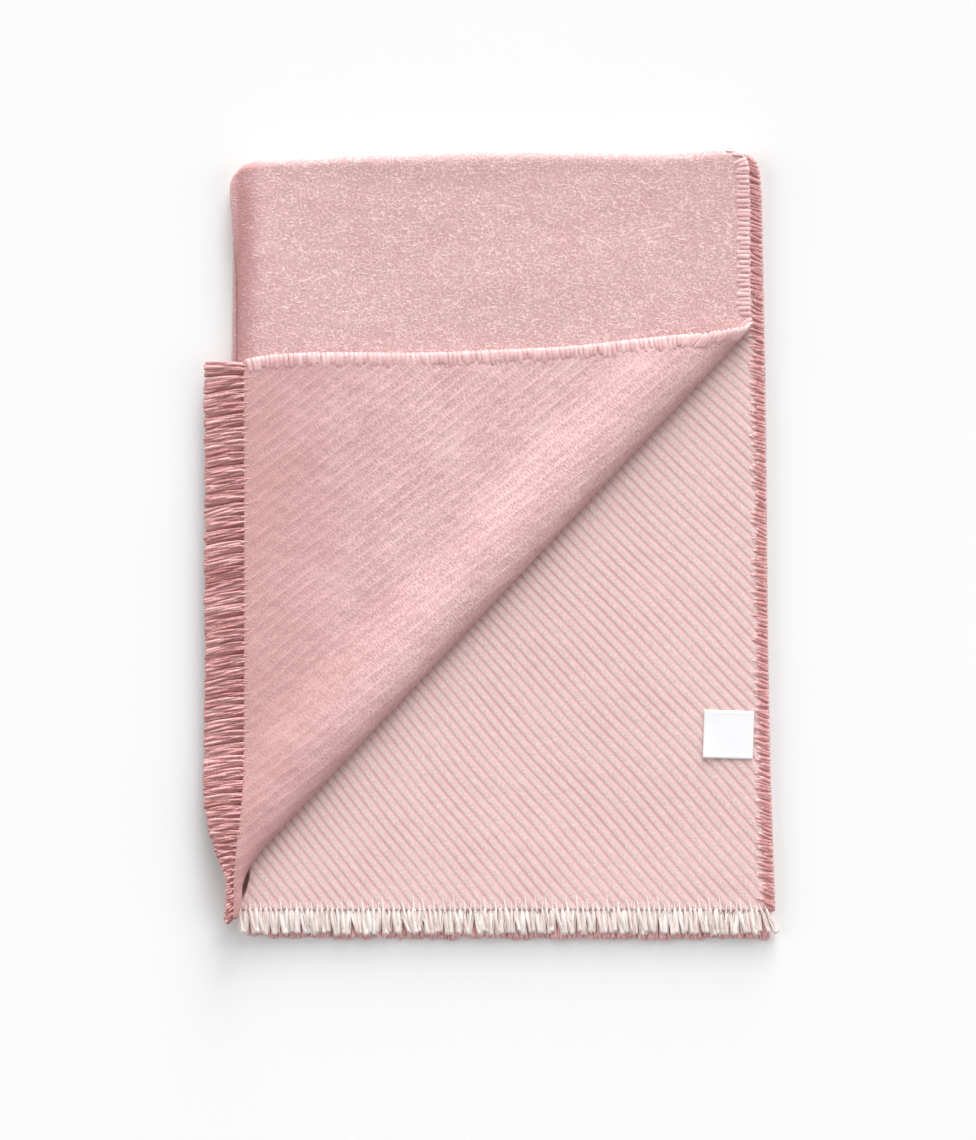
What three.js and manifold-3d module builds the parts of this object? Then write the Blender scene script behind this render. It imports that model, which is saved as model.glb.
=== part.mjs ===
// Folded wool throw with fringed ends, one corner turned back. Millimetres, +Z up.
// +X is to the right and +Y away from the fringed front, seen from above.
// The throw is folded in half across (fold at the left) and in half lengthwise (fold at the back),
// so it lies in four layers. The front right corner of the top layer is turned back over the stack
// along a diagonal roll, and its fringe hangs over the left fold.
import * as THREE from 'three';
import { mergeVertices } from 'three/addons/utils/BufferGeometryUtils.js';
import Module from 'manifold-3d';

const wasm = await Module();
wasm.setup();

// Driving sizes of the cloth
const CLOTH_THICKNESS = 3;
const PITCH_AT_FOLDS = 5.8; // layer to layer, where the folds hold the layers up
const PITCH_AT_EDGES = 4.4; // layer to layer, at the free edges
const FOLD_HOLD = 75; // how far a fold holds the layers up
const SWELL = 0.8; // soft unevenness of the top layer, none in the bottom layer
const GAP = 0.3; // between separate pieces
const MIDDLE = { x: -0.81, y: -0.11 }; // of the outline: the origin is at its bottom centre

// The folds
const BACK_FOLD_REACH = 12; // from the end of the straight layers to the outside of the back fold
const SIDE_FOLD_BULGE = 4.4; // the same for the middle of the cloth in a side fold
const SIDE_FOLD_REACH = SIDE_FOLD_BULGE + CLOTH_THICKNESS / 2;
const BACK_CORNER = { left: -318, back: 470, across: 42, deep: 34 };

// The turned-back corner
const FLAP_PITCH = 4.8; // flap over the top layer, away from the roll
const FLAP_SETTLES = 110; // how far from the roll the flap has come down
const ROLL_END = -456; // where the roll runs out at the front left
const ADVANCE_UNDER = 7; // the roll's tight lower quarter carries the threads this far along itself
const ADVANCE_OVER = 0.96; // its broad upper quarter, as a share of that quarter's reach
const ADVANCE_FADES = 60;

// Quarters of the roll's section, for the middle of the cloth: under is tight, over is broad.
const ROLL_WHEN_FULL = { underReach: 7, underRise: 4.5, overReach: 34, overRise: 9 };
const ROLL_AT_TONGUE = { underReach: 3.2, underRise: 3.2, overReach: 3.2, overRise: 3.2 };

// Fringe: a narrow backing strip beside the edge, and its strands, which lean together in pairs
const BACKING_WIDTH = 4;
const BACKING_HEIGHT = CLOTH_THICKNESS;
const ROOT_DEPTH = 1.5; // how far a strand runs into its backing
const STRAND_HEIGHT = 2.4;
const STRAND_STATIONS = [0, 0.5, 1];
const OUTWARD_SPAN = 0.05; // share of the edge over which the way out is taken
const WHITE_FRINGE = {
  count: 104,
  width: 4.1,
  tipWidth: 3.3,
  length: 24.5,
  uneven: 2.2,
  droop: 2.2,
  pairLean: 1.1,
  sway: 1.2,
};
const FLAP_FRINGE = {
  count: 88,
  width: 6.4,
  tipWidth: 5.8,
  length: 44.5,
  uneven: 1.4,
  droop: 6.5,
  pairLean: 0.35,
  sway: 0.5,
};
const THIRD_FRINGE = {
  count: 48,
  width: 10.6,
  tipWidth: 9.4,
  length: 33.5,
  uneven: 2.2,
  droop: 1.8,
  pairLean: 0.8,
  sway: 0.8,
};
const BOTTOM_FRINGE = {
  count: 49,
  width: 10.6,
  tipWidth: 9.2,
  length: 34.5,
  uneven: 2.2,
  droop: 0.3,
  pairLean: 0.8,
  sway: 0.8,
};
const TONGUE_FAN = 0.6; // the flap's last strands turn this far towards the front

// Label
const LABEL = { x: 292, y: -231.5, width: 61, length: 59, thickness: 1, turn: -0.035 };

// Colours
const ROSE = 0xe0b4b2;
const WHITE = 0xf7efe9;

// Outline of the back fold: how far back it reaches at each place across.
const BACK_FOLD_LINE = [
  { at: -320, value: 469.5 },
  { at: -280, value: 470.8 },
  { at: -182, value: 476.5 },
  { at: 50, value: 482 },
  { at: 220, value: 480 },
  { at: 298, value: 484.5 },
  { at: 345, value: 482 },
];

// Outlines of the two side folds at the left: the upper one stands back to show the lower one.
const UPPER_SIDE_FOLD = [
  { at: -455, value: -318.5 },
  { at: -410, value: -316.5 },
  { at: -370, value: -311 },
  { at: -300, value: -308 },
  { at: 250, value: -307 },
  { at: 340, value: -308 },
  { at: 385, value: -313 },
  { at: 430, value: -316.8 },
];
const LOWER_SIDE_FOLD = [
  { at: -450, value: -309 },
  { at: -400, value: -312 },
  { at: -200, value: -314 },
  { at: 250, value: -314.5 },
  { at: 370, value: -313.8 },
  { at: 430, value: -316.8 },
];

// Right edges of the four layers, top layer first. The selvedges splay towards the front.
const RIGHT_EDGES = [
  [
    { at: 270, value: 319 },
    { at: 330, value: 317.5 },
    { at: 455, value: 316 },
    { at: 470, value: 313 },
    { at: 480, value: 306 },
    { at: 486, value: 299 },
  ],
  [
    { at: -440, value: 348 },
    { at: -345, value: 344.6 },
    { at: -260, value: 342 },
    { at: -130, value: 339.6 },
    { at: 190, value: 336 },
    { at: 330, value: 333.3 },
    { at: 440, value: 330.6 },
    { at: 461, value: 327.5 },
    { at: 469, value: 324 },
    { at: 475, value: 316 },
  ],
  [
    { at: -440, value: 342 },
    { at: -200, value: 335 },
    { at: 200, value: 330 },
    { at: 440, value: 329.6 },
    { at: 461, value: 327.5 },
    { at: 469, value: 324 },
    { at: 475, value: 316 },
  ],
  [
    { at: -440, value: 345 },
    { at: -200, value: 338 },
    { at: 200, value: 326 },
    { at: 455, value: 316 },
    { at: 470, value: 313 },
    { at: 480, value: 306 },
    { at: 486, value: 299 },
  ],
];

// Front edges of the three lower layers, at each place across.
const FRONT_EDGES = {
  1: [
    { at: -312, value: -445.5 },
    { at: -100, value: -446 },
    { at: 150, value: -445.5 },
    { at: 347, value: -447 },
  ],
  2: [
    { at: -312, value: -439 },
    { at: -60, value: -441 },
    { at: 220, value: -443 },
    { at: 347, value: -442 },
  ],
  3: [
    { at: -312, value: -441 },
    { at: 60, value: -443 },
    { at: 347, value: -444 },
  ],
};

// Outside of the diagonal roll: its place across, at each place along, and how full its section is.
const ROLL_LINE = [
  { at: -457, value: -306 },
  { at: -433, value: -302 },
  { at: -412, value: -300.5 },
  { at: -397, value: -294.5 },
  { at: -385, value: -287 },
  { at: -366, value: -272.3 },
  { at: 0, value: 70.8 },
  { at: 300, value: 351.5 },
];
const ROLL_FULLNESS = [
  { at: -457, value: 0 },
  { at: -410, value: 0.1 },
  { at: -366, value: 0.4 },
  { at: -330, value: 0.72 },
  { at: -260, value: 1 },
];

// The crosswise threads of the flap, as its stitched back edge shows them: place along, at each place across.
const FLAP_THREAD = [
  { at: -312, value: 225 },
  { at: -285, value: 231 },
  { at: -250, value: 235 },
  { at: -200, value: 236.6 },
  { at: -80, value: 236.6 },
  { at: 20, value: 240.5 },
  { at: 100, value: 244.5 },
  { at: 180, value: 253 },
  { at: 240, value: 258.5 },
  { at: 310, value: 260.5 },
];

// Left edge of the flap, at each place along.
const FLAP_EDGE = [
  { at: -455, value: -312 },
  { at: -404, value: -311 },
  { at: -360, value: -307.5 },
  { at: -300, value: -301 },
  { at: -220, value: -299 },
  { at: 240, value: -299 },
];

// How long the flap's fringe is at each place along: short where the roll runs out.
const FLAP_FRINGE_SHARE = [
  { at: -456, value: 0.24 },
  { at: -430, value: 0.16 },
  { at: -404, value: 0.16 },
  { at: -384, value: 0.32 },
  { at: -350, value: 0.66 },
  { at: -305, value: 0.95 },
  { at: -260, value: 1 },
];

// How finely the cloth is divided. Rows stand closer together towards the front and the back.
const DIAGONAL_COLUMNS = 13;
const TONGUE_COLUMNS = 3; // where the roll thins out at the front left
const TONGUE_STARTS = -378;
const OUTER_COLUMNS = DIAGONAL_COLUMNS + TONGUE_COLUMNS;
const SIDE_FOLD_STEPS = 6;
const INNER_COLUMNS = 12;
const STRAIGHT_ROWS = 14;
const ROW_CROWDING = 0.62;
const BACK_FOLD_STEPS = 8;
const ROLL_STEPS = 10;
const FLAP_STEPS = 8;

const TOP = 0;
const SECOND = 1;
const THIRD = 2;
const BOTTOM = 3;

function mix(from, to, share) {
  return from + (to - from) * share;
}

function clamp(value, low, high) {
  return Math.min(Math.max(value, low), high);
}

function easeInOut(share) {
  return (1 - Math.cos(Math.PI * clamp(share, 0, 1))) / 2;
}

// A repeatable uneven number from -1 to 1 for each whole number.
function uneven(index, series) {
  const wave = Math.sin(index * 12.9898 + series * 78.233) * 43758.5453;
  return 2 * (wave - Math.floor(wave)) - 1;
}

// Smooth curve through the rows of a short table.
function along(rows, at) {
  const last = rows.length - 1;
  if (at <= rows[0].at) {
    return rows[0].value;
  }
  if (at >= rows[last].at) {
    return rows[last].value;
  }
  const slopeAt = (index) => {
    const before = rows[Math.max(index - 1, 0)];
    const after = rows[Math.min(index + 1, last)];
    return (after.value - before.value) / (after.at - before.at);
  };
  let index = 0;
  while (rows[index + 1].at < at) {
    index += 1;
  }
  const span = rows[index + 1].at - rows[index].at;
  const share = (at - rows[index].at) / span;
  const square = share * share;
  const cube = square * share;
  return rows[index].value * (2 * cube - 3 * square + 1)
    + slopeAt(index) * span * (cube - 2 * square + share)
    + rows[index + 1].value * (3 * square - 2 * cube)
    + slopeAt(index + 1) * span * (cube - square);
}

// Height of the middle of a layer. The bottom layer lies flat.
function layerHeight(layer, x, y) {
  const level = BOTTOM - layer;
  const nearSideFold = Math.exp(-Math.max(x + 310, 0) / FOLD_HOLD);
  const nearBackFold = Math.exp(-Math.max(465 - y, 0) / FOLD_HOLD);
  const held = 1 - (1 - nearSideFold) * (1 - nearBackFold);
  const pitch = mix(PITCH_AT_EDGES, PITCH_AT_FOLDS, held);
  const waves = Math.sin(x / 97 + 0.6) * Math.cos(y / 121 - 0.4) + 0.5 * Math.sin((x + y) / 63 + 1.1);
  return CLOTH_THICKNESS / 2 + level * pitch + SWELL * (level / BOTTOM) * waves;
}

function sideFoldStart(upper, y) {
  return along(upper ? UPPER_SIDE_FOLD : LOWER_SIDE_FOLD, y) + SIDE_FOLD_REACH;
}

// The back left corner is rounded: a square patch there is eased into a quarter round.
function roundBackCorner(point) {
  const across = (BACK_CORNER.left + BACK_CORNER.across - point.x) / BACK_CORNER.across;
  const deep = (point.y - BACK_CORNER.back + BACK_CORNER.deep) / BACK_CORNER.deep;
  if (across > 0 && deep > 0) {
    const roundAcross = across * Math.sqrt(1 - Math.min(deep * deep, 1) / 2);
    const roundDeep = deep * Math.sqrt(1 - Math.min(across * across, 1) / 2);
    point.x = BACK_CORNER.left + BACK_CORNER.across * (1 - roundAcross);
    point.y = BACK_CORNER.back - BACK_CORNER.deep * (1 - roundDeep);
  }
  return point;
}

// Sizes of the roll's section at a place along its outside line.
function rollSection(y) {
  const fullness = along(ROLL_FULLNESS, y);
  const section = {};
  for (const [name, size] of Object.entries(ROLL_WHEN_FULL)) {
    section[name] = mix(ROLL_AT_TONGUE[name], size, fullness);
  }
  return section;
}

// The diagonal roll at a place along its outside line: where the cloth leaves the top layer,
// the way the roll faces and its section.
function rollAt(y) {
  const step = 1;
  const lean = (along(ROLL_LINE, y + step) - along(ROLL_LINE, y - step)) / (2 * step);
  const size = Math.hypot(1, lean);
  const section = rollSection(y);
  const faceX = 1 / size;
  const faceY = -lean / size;
  const reach = section.underReach + CLOTH_THICKNESS / 2;
  return { x: along(ROLL_LINE, y) - faceX * reach, y: y - faceY * reach, faceX, faceY, section };
}

// How far the roll's axis lies across the top layer at a place along: 0 right edge, 1 side fold.
function shareOfTopLayer(axis) {
  const right = along(RIGHT_EDGES[TOP], axis.y);
  return (axis.x - right) / (sideFoldStart(true, axis.y) - right);
}

// Place along the roll where it meets the right edge of the top layer.
function rollStart() {
  let low = 0;
  let high = 290;
  for (let turn = 0; turn < 40; turn += 1) {
    const middle = (low + high) / 2;
    if (shareOfTopLayer(rollAt(middle)) > 0) {
      low = middle;
    } else {
      high = middle;
    }
  }
  return low;
}

// Columns of the cloth from the right edge of the outer layers, around the side folds,
// to the right edge of the inner layers.
function clothColumns() {
  const columns = [];
  const start = rollStart();
  for (let index = 0; index <= OUTER_COLUMNS; index += 1) {
    const onRoll = index <= DIAGONAL_COLUMNS
      ? mix(start, TONGUE_STARTS, index / DIAGONAL_COLUMNS)
      : mix(TONGUE_STARTS, ROLL_END, (index - DIAGONAL_COLUMNS) / TONGUE_COLUMNS);
    const axis = rollAt(onRoll);
    const share = index === OUTER_COLUMNS ? 1 : clamp(shareOfTopLayer(axis), 0, 1);
    columns.push({ kind: 'outer', share, onRoll, front: axis.y });
  }
  const end = columns[OUTER_COLUMNS];
  for (let index = 1; index < SIDE_FOLD_STEPS; index += 1) {
    columns.push({ kind: 'fold', share: index / SIDE_FOLD_STEPS, front: end.front });
  }
  for (let index = 0; index <= INNER_COLUMNS; index += 1) {
    columns.push({ kind: 'inner', share: index / INNER_COLUMNS, front: end.front });
  }
  return columns;
}

// Place across and height of a column at a place along, in the upper or the lower pair of layers.
// The offset is measured from the middle of the cloth towards its outer face.
function acrossPair(column, upper, y, offset) {
  const outerLayer = upper ? TOP : BOTTOM;
  const innerLayer = upper ? SECOND : THIRD;
  const outwards = upper ? offset : -offset;
  const foldStart = sideFoldStart(upper, y);
  if (column.kind === 'outer') {
    const x = mix(along(RIGHT_EDGES[outerLayer], y), foldStart, column.share);
    return { x, z: layerHeight(outerLayer, x, y) + outwards };
  }
  if (column.kind === 'inner') {
    const x = mix(foldStart, along(RIGHT_EDGES[innerLayer], y), column.share);
    return { x, z: layerHeight(innerLayer, x, y) - outwards };
  }
  const angle = Math.PI * column.share;
  const outerHeight = layerHeight(outerLayer, foldStart, y);
  const innerHeight = layerHeight(innerLayer, foldStart, y);
  const halfHeight = (outerHeight - innerHeight) / 2;
  return {
    x: foldStart - (SIDE_FOLD_BULGE + offset) * Math.sin(angle),
    z: (outerHeight + innerHeight) / 2 + (halfHeight + outwards) * Math.cos(angle),
  };
}

// Front end of a column in the upper or the lower pair of layers.
function frontOf(column, upper) {
  const outerFront = upper ? column.front : along(FRONT_EDGES[BOTTOM], acrossPair(column, false, -440, 0).x);
  if (column.kind === 'outer') {
    return outerFront;
  }
  const innerLayer = upper ? SECOND : THIRD;
  const innerFront = along(FRONT_EDGES[innerLayer], acrossPair(column, upper, -440, 0).x);
  return column.kind === 'inner' ? innerFront : mix(outerFront, innerFront, column.share);
}

// A point of the main cloth. Rows run from the front of the upper pair, around the back fold,
// to the front of the lower pair: 0 to 1, 1 to 2 and 2 to 3.
function mainCloth(column, row, offset) {
  const nearBack = acrossPair(column, true, 455, 0).x;
  const foldY = along(BACK_FOLD_LINE, nearBack) - BACK_FOLD_REACH;
  if (row <= 1 || row >= 2) {
    const upper = row <= 1;
    const share = upper ? row : 3 - row;
    const y = mix(frontOf(column, upper), foldY, share);
    const place = acrossPair(column, upper, y, offset);
    return roundBackCorner(new THREE.Vector3(place.x, y, place.z));
  }
  const angle = Math.PI * (row - 1);
  const above = acrossPair(column, true, foldY, offset);
  const below = acrossPair(column, false, foldY, offset);
  const radius = (above.z - below.z) / 2;
  const stackHeight = layerHeight(TOP, nearBack, foldY) - layerHeight(BOTTOM, nearBack, foldY);
  const widest = (stackHeight + CLOTH_THICKNESS) / 2;
  const y = foldY + BACK_FOLD_REACH * (radius / widest) * Math.sin(angle);
  const share = (1 - Math.cos(angle)) / 2;
  const x = mix(acrossPair(column, true, y, offset).x, acrossPair(column, false, y, offset).x, share);
  const z = (above.z + below.z) / 2 + radius * Math.cos(angle);
  return roundBackCorner(new THREE.Vector3(x, y, z));
}

// The roll under a column, from share 0, where it leaves the top layer, to 1, turned over.
function rollTurned(column, share) {
  const fade = clamp((column.onRoll - ROLL_END) / ADVANCE_FADES, 0, 1);
  const angle = Math.PI * (share - 0.5);
  const over = share > 0.5 ? 1 - Math.cos(angle) : 0;
  const overReach = rollSection(column.onRoll).overReach;
  const advance = ADVANCE_UNDER * Math.min(2 * share, 1) + ADVANCE_OVER * overReach * over;
  const roll = rollAt(column.onRoll - fade * advance);
  if (column.share === 1) {
    roll.x = sideFoldStart(true, roll.y);
  }
  return { ...roll, angle };
}

function rolledCloth(column, share, offset) {
  const { x, y, faceX, faceY, section, angle } = rollTurned(column, share);
  const reach = angle < 0 ? section.underReach : section.overReach;
  const rise = angle < 0 ? section.underRise : section.overRise;
  const steepness = Math.hypot(Math.cos(angle) / reach, Math.sin(angle) / rise);
  const outwards = Math.cos(angle) / reach / steepness;
  const upwards = Math.sin(angle) / rise / steepness;
  const forward = section.underReach - reach * (1 - Math.cos(angle)) - offset * outwards;
  const placeX = x + faceX * forward;
  const placeY = y + faceY * forward;
  const height = section.underRise + rise * Math.sin(angle) - offset * upwards;
  return new THREE.Vector3(placeX, placeY, layerHeight(TOP, placeX, placeY) + height);
}

function flapCloth(column, share, offset) {
  const start = rolledCloth(column, 1, 0);
  const { underRise, overRise } = rollTurned(column, 1).section;
  const edgeX = along(FLAP_EDGE, start.y);
  const x = mix(start.x, edgeX, share);
  const y = start.y + along(FLAP_THREAD, x) - along(FLAP_THREAD, start.x);
  const settled = easeInOut((start.x - x) / FLAP_SETTLES);
  const lift = mix(underRise + overRise, FLAP_PITCH, settled);
  return new THREE.Vector3(x, y, layerHeight(TOP, x, y) + lift - offset);
}

// A sheet with its two faces and its rim, from the places of its nodes on the middle of the cloth.
// Each cell is a loop of three or four nodes, anticlockwise seen from the outer face.
function thickSheet(outerFace, innerFace, cells) {
  const positions = [...outerFace, ...innerFace].flatMap((point) => [point.x, point.y, point.z]);
  const inner = outerFace.length;
  const triangles = [];
  const edges = new Map();
  for (const cell of cells) {
    const loop = cell.filter((node, index) => node !== cell[(index + 1) % cell.length]);
    for (let index = 1; index < loop.length - 1; index += 1) {
      triangles.push(loop[0], loop[index], loop[index + 1]);
      triangles.push(inner + loop[0], inner + loop[index + 1], inner + loop[index]);
    }
    loop.forEach((node, index) => {
      const next = loop[(index + 1) % loop.length];
      if (!edges.delete(`${next} ${node}`)) {
        edges.set(`${node} ${next}`, [node, next]);
      }
    });
  }
  for (const [node, next] of edges.values()) {
    triangles.push(node, inner + node, inner + next, node, inner + next, next);
  }
  const geometry = new THREE.BufferGeometry();
  geometry.setAttribute('position', new THREE.Float32BufferAttribute(positions, 3));
  geometry.setIndex(triangles);
  return geometry;
}

// The whole cloth: four layers, three folds and the turned-back corner in one sheet.
function throwGeometry() {
  const columns = clothColumns();
  const outerFace = [];
  const innerFace = [];
  const cells = [];
  const addNode = (place) => {
    outerFace.push(place(CLOTH_THICKNESS / 2));
    innerFace.push(place(-CLOTH_THICKNESS / 2));
    return outerFace.length - 1;
  };
  const addCells = (strips) => {
    for (let across = 0; across < strips.length - 1; across += 1) {
      for (let row = 0; row < strips[across].length - 1; row += 1) {
        cells.push([
          strips[across][row],
          strips[across][row + 1],
          strips[across + 1][row + 1],
          strips[across + 1][row],
        ]);
      }
    }
  };

  const rows = [];
  const straight = [];
  for (let step = 0; step <= STRAIGHT_ROWS; step += 1) {
    const turn = (2 * Math.PI * step) / STRAIGHT_ROWS;
    straight.push(step / STRAIGHT_ROWS - (ROW_CROWDING * Math.sin(turn)) / (2 * Math.PI));
  }
  rows.push(...straight);
  for (let step = 1; step < BACK_FOLD_STEPS; step += 1) {
    rows.push(1 + step / BACK_FOLD_STEPS);
  }
  rows.push(...straight.map((share) => 2 + share));
  const main = columns.map((column) => (
    rows.map((row) => addNode((offset) => mainCloth(column, row, offset)))
  ));
  addCells(main);

  // From each column's front end up over the roll and along the flap. The last one ends at the roll.
  const turned = columns.slice(0, OUTER_COLUMNS + 1).map((column, index) => {
    const strip = [main[index][0]];
    for (let step = 1; step <= ROLL_STEPS; step += 1) {
      strip.push(addNode((offset) => rolledCloth(column, step / ROLL_STEPS, offset)));
    }
    for (let step = 1; step <= FLAP_STEPS; step += 1) {
      const collapsed = index === OUTER_COLUMNS;
      const share = step / FLAP_STEPS;
      strip.push(collapsed ? strip[ROLL_STEPS] : addNode((offset) => flapCloth(column, share, offset)));
    }
    return strip.reverse();
  });
  addCells(turned);
  return thickSheet(outerFace, innerFace, cells);
}

// A line of edge points without its first and last stretch.
function trimmedLine(points, fromStart, fromEnd) {
  const lengths = [0];
  for (let index = 1; index < points.length; index += 1) {
    lengths.push(lengths[index - 1] + points[index].distanceTo(points[index - 1]));
  }
  const total = lengths[lengths.length - 1];
  const pointAt = (distance) => {
    let index = 1;
    while (index < points.length - 1 && lengths[index] < distance) {
      index += 1;
    }
    const share = (distance - lengths[index - 1]) / (lengths[index] - lengths[index - 1]);
    return new THREE.Vector3().lerpVectors(points[index - 1], points[index], share);
  };
  const isKept = (distance) => distance > fromStart + 1 && distance < total - fromEnd - 1;
  const kept = points.filter((point, index) => isKept(lengths[index]));
  const line = [pointAt(fromStart), ...kept, pointAt(total - fromEnd)];
  return { line, pointAt: (share) => pointAt(mix(fromStart, total - fromEnd, share)) };
}

// Outward direction beside a line whose cloth is on its left.
function outwardBeside(before, after) {
  const size = Math.hypot(after.x - before.x, after.y - before.y);
  return { x: (after.y - before.y) / size, y: -(after.x - before.x) / size };
}

function backingStrip(line) {
  const positions = [];
  const triangles = [];
  line.forEach((point, index) => {
    const before = line[Math.max(index - 1, 0)];
    const after = line[Math.min(index + 1, line.length - 1)];
    const out = outwardBeside(before, after);
    const corners = [[GAP, -1], [GAP + BACKING_WIDTH, -1], [GAP + BACKING_WIDTH, 1], [GAP, 1]];
    for (const [reach, side] of corners) {
      positions.push(point.x + out.x * reach, point.y + out.y * reach, point.z + (side * BACKING_HEIGHT) / 2);
    }
    for (let corner = 0; corner < 4 && index > 0; corner += 1) {
      const next = (corner + 1) % 4;
      const here = 4 * index;
      const back = here - 4;
      triangles.push(back + corner, here + corner, here + next, back + corner, here + next, back + next);
    }
  });
  const end = 4 * (line.length - 1);
  triangles.push(0, 1, 2, 0, 2, 3, end, end + 2, end + 1, end, end + 3, end + 2);
  return { positions, triangles };
}

// A three-sided strand, flat below. The root and the way out come from its place beside the edge.
function strandSolid(root, out, strand) {
  const positions = [];
  const triangles = [];
  const lengthwise = strand.length + ROOT_DEPTH;
  STRAND_STATIONS.forEach((station, index) => {
    const reach = GAP + BACKING_WIDTH - ROOT_DEPTH + lengthwise * station;
    const aside = strand.lean * station * station;
    const x = root.x + out.x * reach - out.y * aside;
    const y = root.y + out.y * reach + out.x * aside;
    const z = root.z - strand.droop * (strand.flat ? Math.min(station * 4, 1) : station * station);
    const halfWidth = mix(strand.width, strand.tipWidth, station) / 2;
    const halfHeight = STRAND_HEIGHT / 2;
    for (const [side, rise] of [[-1, -1], [1, -1], [0, 1]]) {
      const beside = side * halfWidth;
      positions.push(x - out.y * beside, y + out.x * beside, z + rise * halfHeight);
    }
    for (let corner = 0; corner < 3 && index > 0; corner += 1) {
      const next = (corner + 1) % 3;
      const here = 3 * index;
      const back = here - 3;
      triangles.push(back + corner, back + next, here + next, back + corner, here + next, here + corner);
    }
  });
  const end = 3 * (STRAND_STATIONS.length - 1);
  triangles.push(0, 2, 1, end, end + 1, end + 2);
  return { positions, triangles };
}

function toManifold({ positions, triangles }) {
  const mesh = new wasm.Mesh({
    numProp: 3,
    vertProperties: new Float32Array(positions),
    triVerts: new Uint32Array(triangles),
  });
  return new wasm.Manifold(mesh);
}

function fromManifold(solid) {
  const mesh = solid.getMesh();
  const geometry = new THREE.BufferGeometry();
  geometry.setAttribute('position', new THREE.Float32BufferAttribute(mesh.vertProperties, 3));
  geometry.setIndex([...mesh.triVerts]);
  return mergeVertices(geometry, 1e-4);
}

// A backing and all its strands beside a line of edge points.
function fringeGeometry(points, sizes, series, fromStart, fromEnd, shape = () => ({})) {
  const { line, pointAt } = trimmedLine(points, fromStart, fromEnd);
  const solids = [toManifold(backingStrip(line))];
  for (let index = 0; index < sizes.count; index += 1) {
    const share = (index + 0.5) / sizes.count;
    const root = pointAt(share);
    const before = pointAt(Math.max(share - OUTWARD_SPAN, 0));
    const after = pointAt(Math.min(share + OUTWARD_SPAN, 1));
    const out = outwardBeside(before, after);
    const { lengthShare = 1, turn = 0, flat = false } = shape(root);
    const turned = {
      x: out.x * Math.cos(turn) - out.y * Math.sin(turn),
      y: out.x * Math.sin(turn) + out.y * Math.cos(turn),
    };
    const pair = Math.floor(index / 2);
    const slimmer = Math.cos(turn) - 0.25 * Math.sin(turn); // turned strands stand closer together
    const towardsPartner = index % 2 === 0 ? sizes.pairLean : -sizes.pairLean;
    const strand = {
      length: sizes.length * lengthShare + sizes.uneven * lengthShare * uneven(index, series),
      lean: (towardsPartner + sizes.sway * uneven(pair, series + 1)) * lengthShare,
      droop: sizes.droop * lengthShare * lengthShare,
      width: sizes.width * slimmer,
      tipWidth: sizes.tipWidth * slimmer,
      flat,
    };
    solids.push(toManifold(strandSolid(root, turned, strand)));
  }
  return fromManifold(wasm.Manifold.union(solids));
}

// The label lies on the second layer, turned a little, and follows its swell.
function labelGeometry() {
  const steps = 4;
  const outerFace = [];
  const innerFace = [];
  const cells = [];
  for (let across = 0; across <= steps; across += 1) {
    for (let deep = 0; deep <= steps; deep += 1) {
      const right = (across / steps - 0.5) * LABEL.width;
      const back = (deep / steps - 0.5) * LABEL.length;
      const x = LABEL.x + right * Math.cos(LABEL.turn) - back * Math.sin(LABEL.turn);
      const y = LABEL.y + right * Math.sin(LABEL.turn) + back * Math.cos(LABEL.turn);
      const under = layerHeight(SECOND, x, y) + CLOTH_THICKNESS / 2 + GAP + 0.1;
      outerFace.push(new THREE.Vector3(x, y, under + LABEL.thickness));
      innerFace.push(new THREE.Vector3(x, y, under));
      if (across > 0 && deep > 0) {
        const here = across * (steps + 1) + deep;
        cells.push([here - steps - 2, here - 1, here, here - steps - 1]);
      }
    }
  }
  return thickSheet(outerFace, innerFace, cells);
}

const throwMaterial = new THREE.MeshStandardMaterial({ color: ROSE, roughness: 0.95, metalness: 0 });
const whiteMaterial = new THREE.MeshStandardMaterial({ color: WHITE, roughness: 0.9, metalness: 0 });

const folded = new THREE.Group();

function addPiece(name, geometry, material) {
  const piece = new THREE.Mesh(geometry, material);
  piece.name = name;
  folded.add(piece);
}

addPiece('throw', throwGeometry(), throwMaterial);

const columns = clothColumns();
const outerColumns = columns.slice(0, OUTER_COLUMNS + 1);
const innerColumns = columns.slice(-INNER_COLUMNS - 1);

const secondEdge = innerColumns.map((column) => mainCloth(column, 0, 0));
addPiece('fringe_second_layer', fringeGeometry(secondEdge, WHITE_FRINGE, 1, 5, 6), whiteMaterial);

const flapEdge = outerColumns.map((column, index) => (
  index === OUTER_COLUMNS ? rolledCloth(column, 1, 0) : flapCloth(column, 1, 0)
));
const flapStrand = (root) => ({
  lengthShare: along(FLAP_FRINGE_SHARE, root.y),
  turn: TONGUE_FAN * easeInOut((-350 - root.y) / 90),
});
addPiece('fringe_flap', fringeGeometry(flapEdge, FLAP_FRINGE, 3, 1, 2, flapStrand), throwMaterial);

const thirdEdge = innerColumns.map((column) => mainCloth(column, 3, 0));
addPiece('fringe_third_layer', fringeGeometry(thirdEdge, THIRD_FRINGE, 5, 5, 2), throwMaterial);

const bottomEdge = outerColumns.map((column) => mainCloth(column, 3, 0)).reverse();
const bottomStrand = () => ({ flat: true });
const bottomFringe = fringeGeometry(bottomEdge, BOTTOM_FRINGE, 7, 5, 2, bottomStrand);
addPiece('fringe_bottom_layer', bottomFringe, throwMaterial);

addPiece('label', labelGeometry(), whiteMaterial);
folded.position.set(-MIDDLE.x, -MIDDLE.y, 0);

export default folded;
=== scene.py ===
import math

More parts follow.
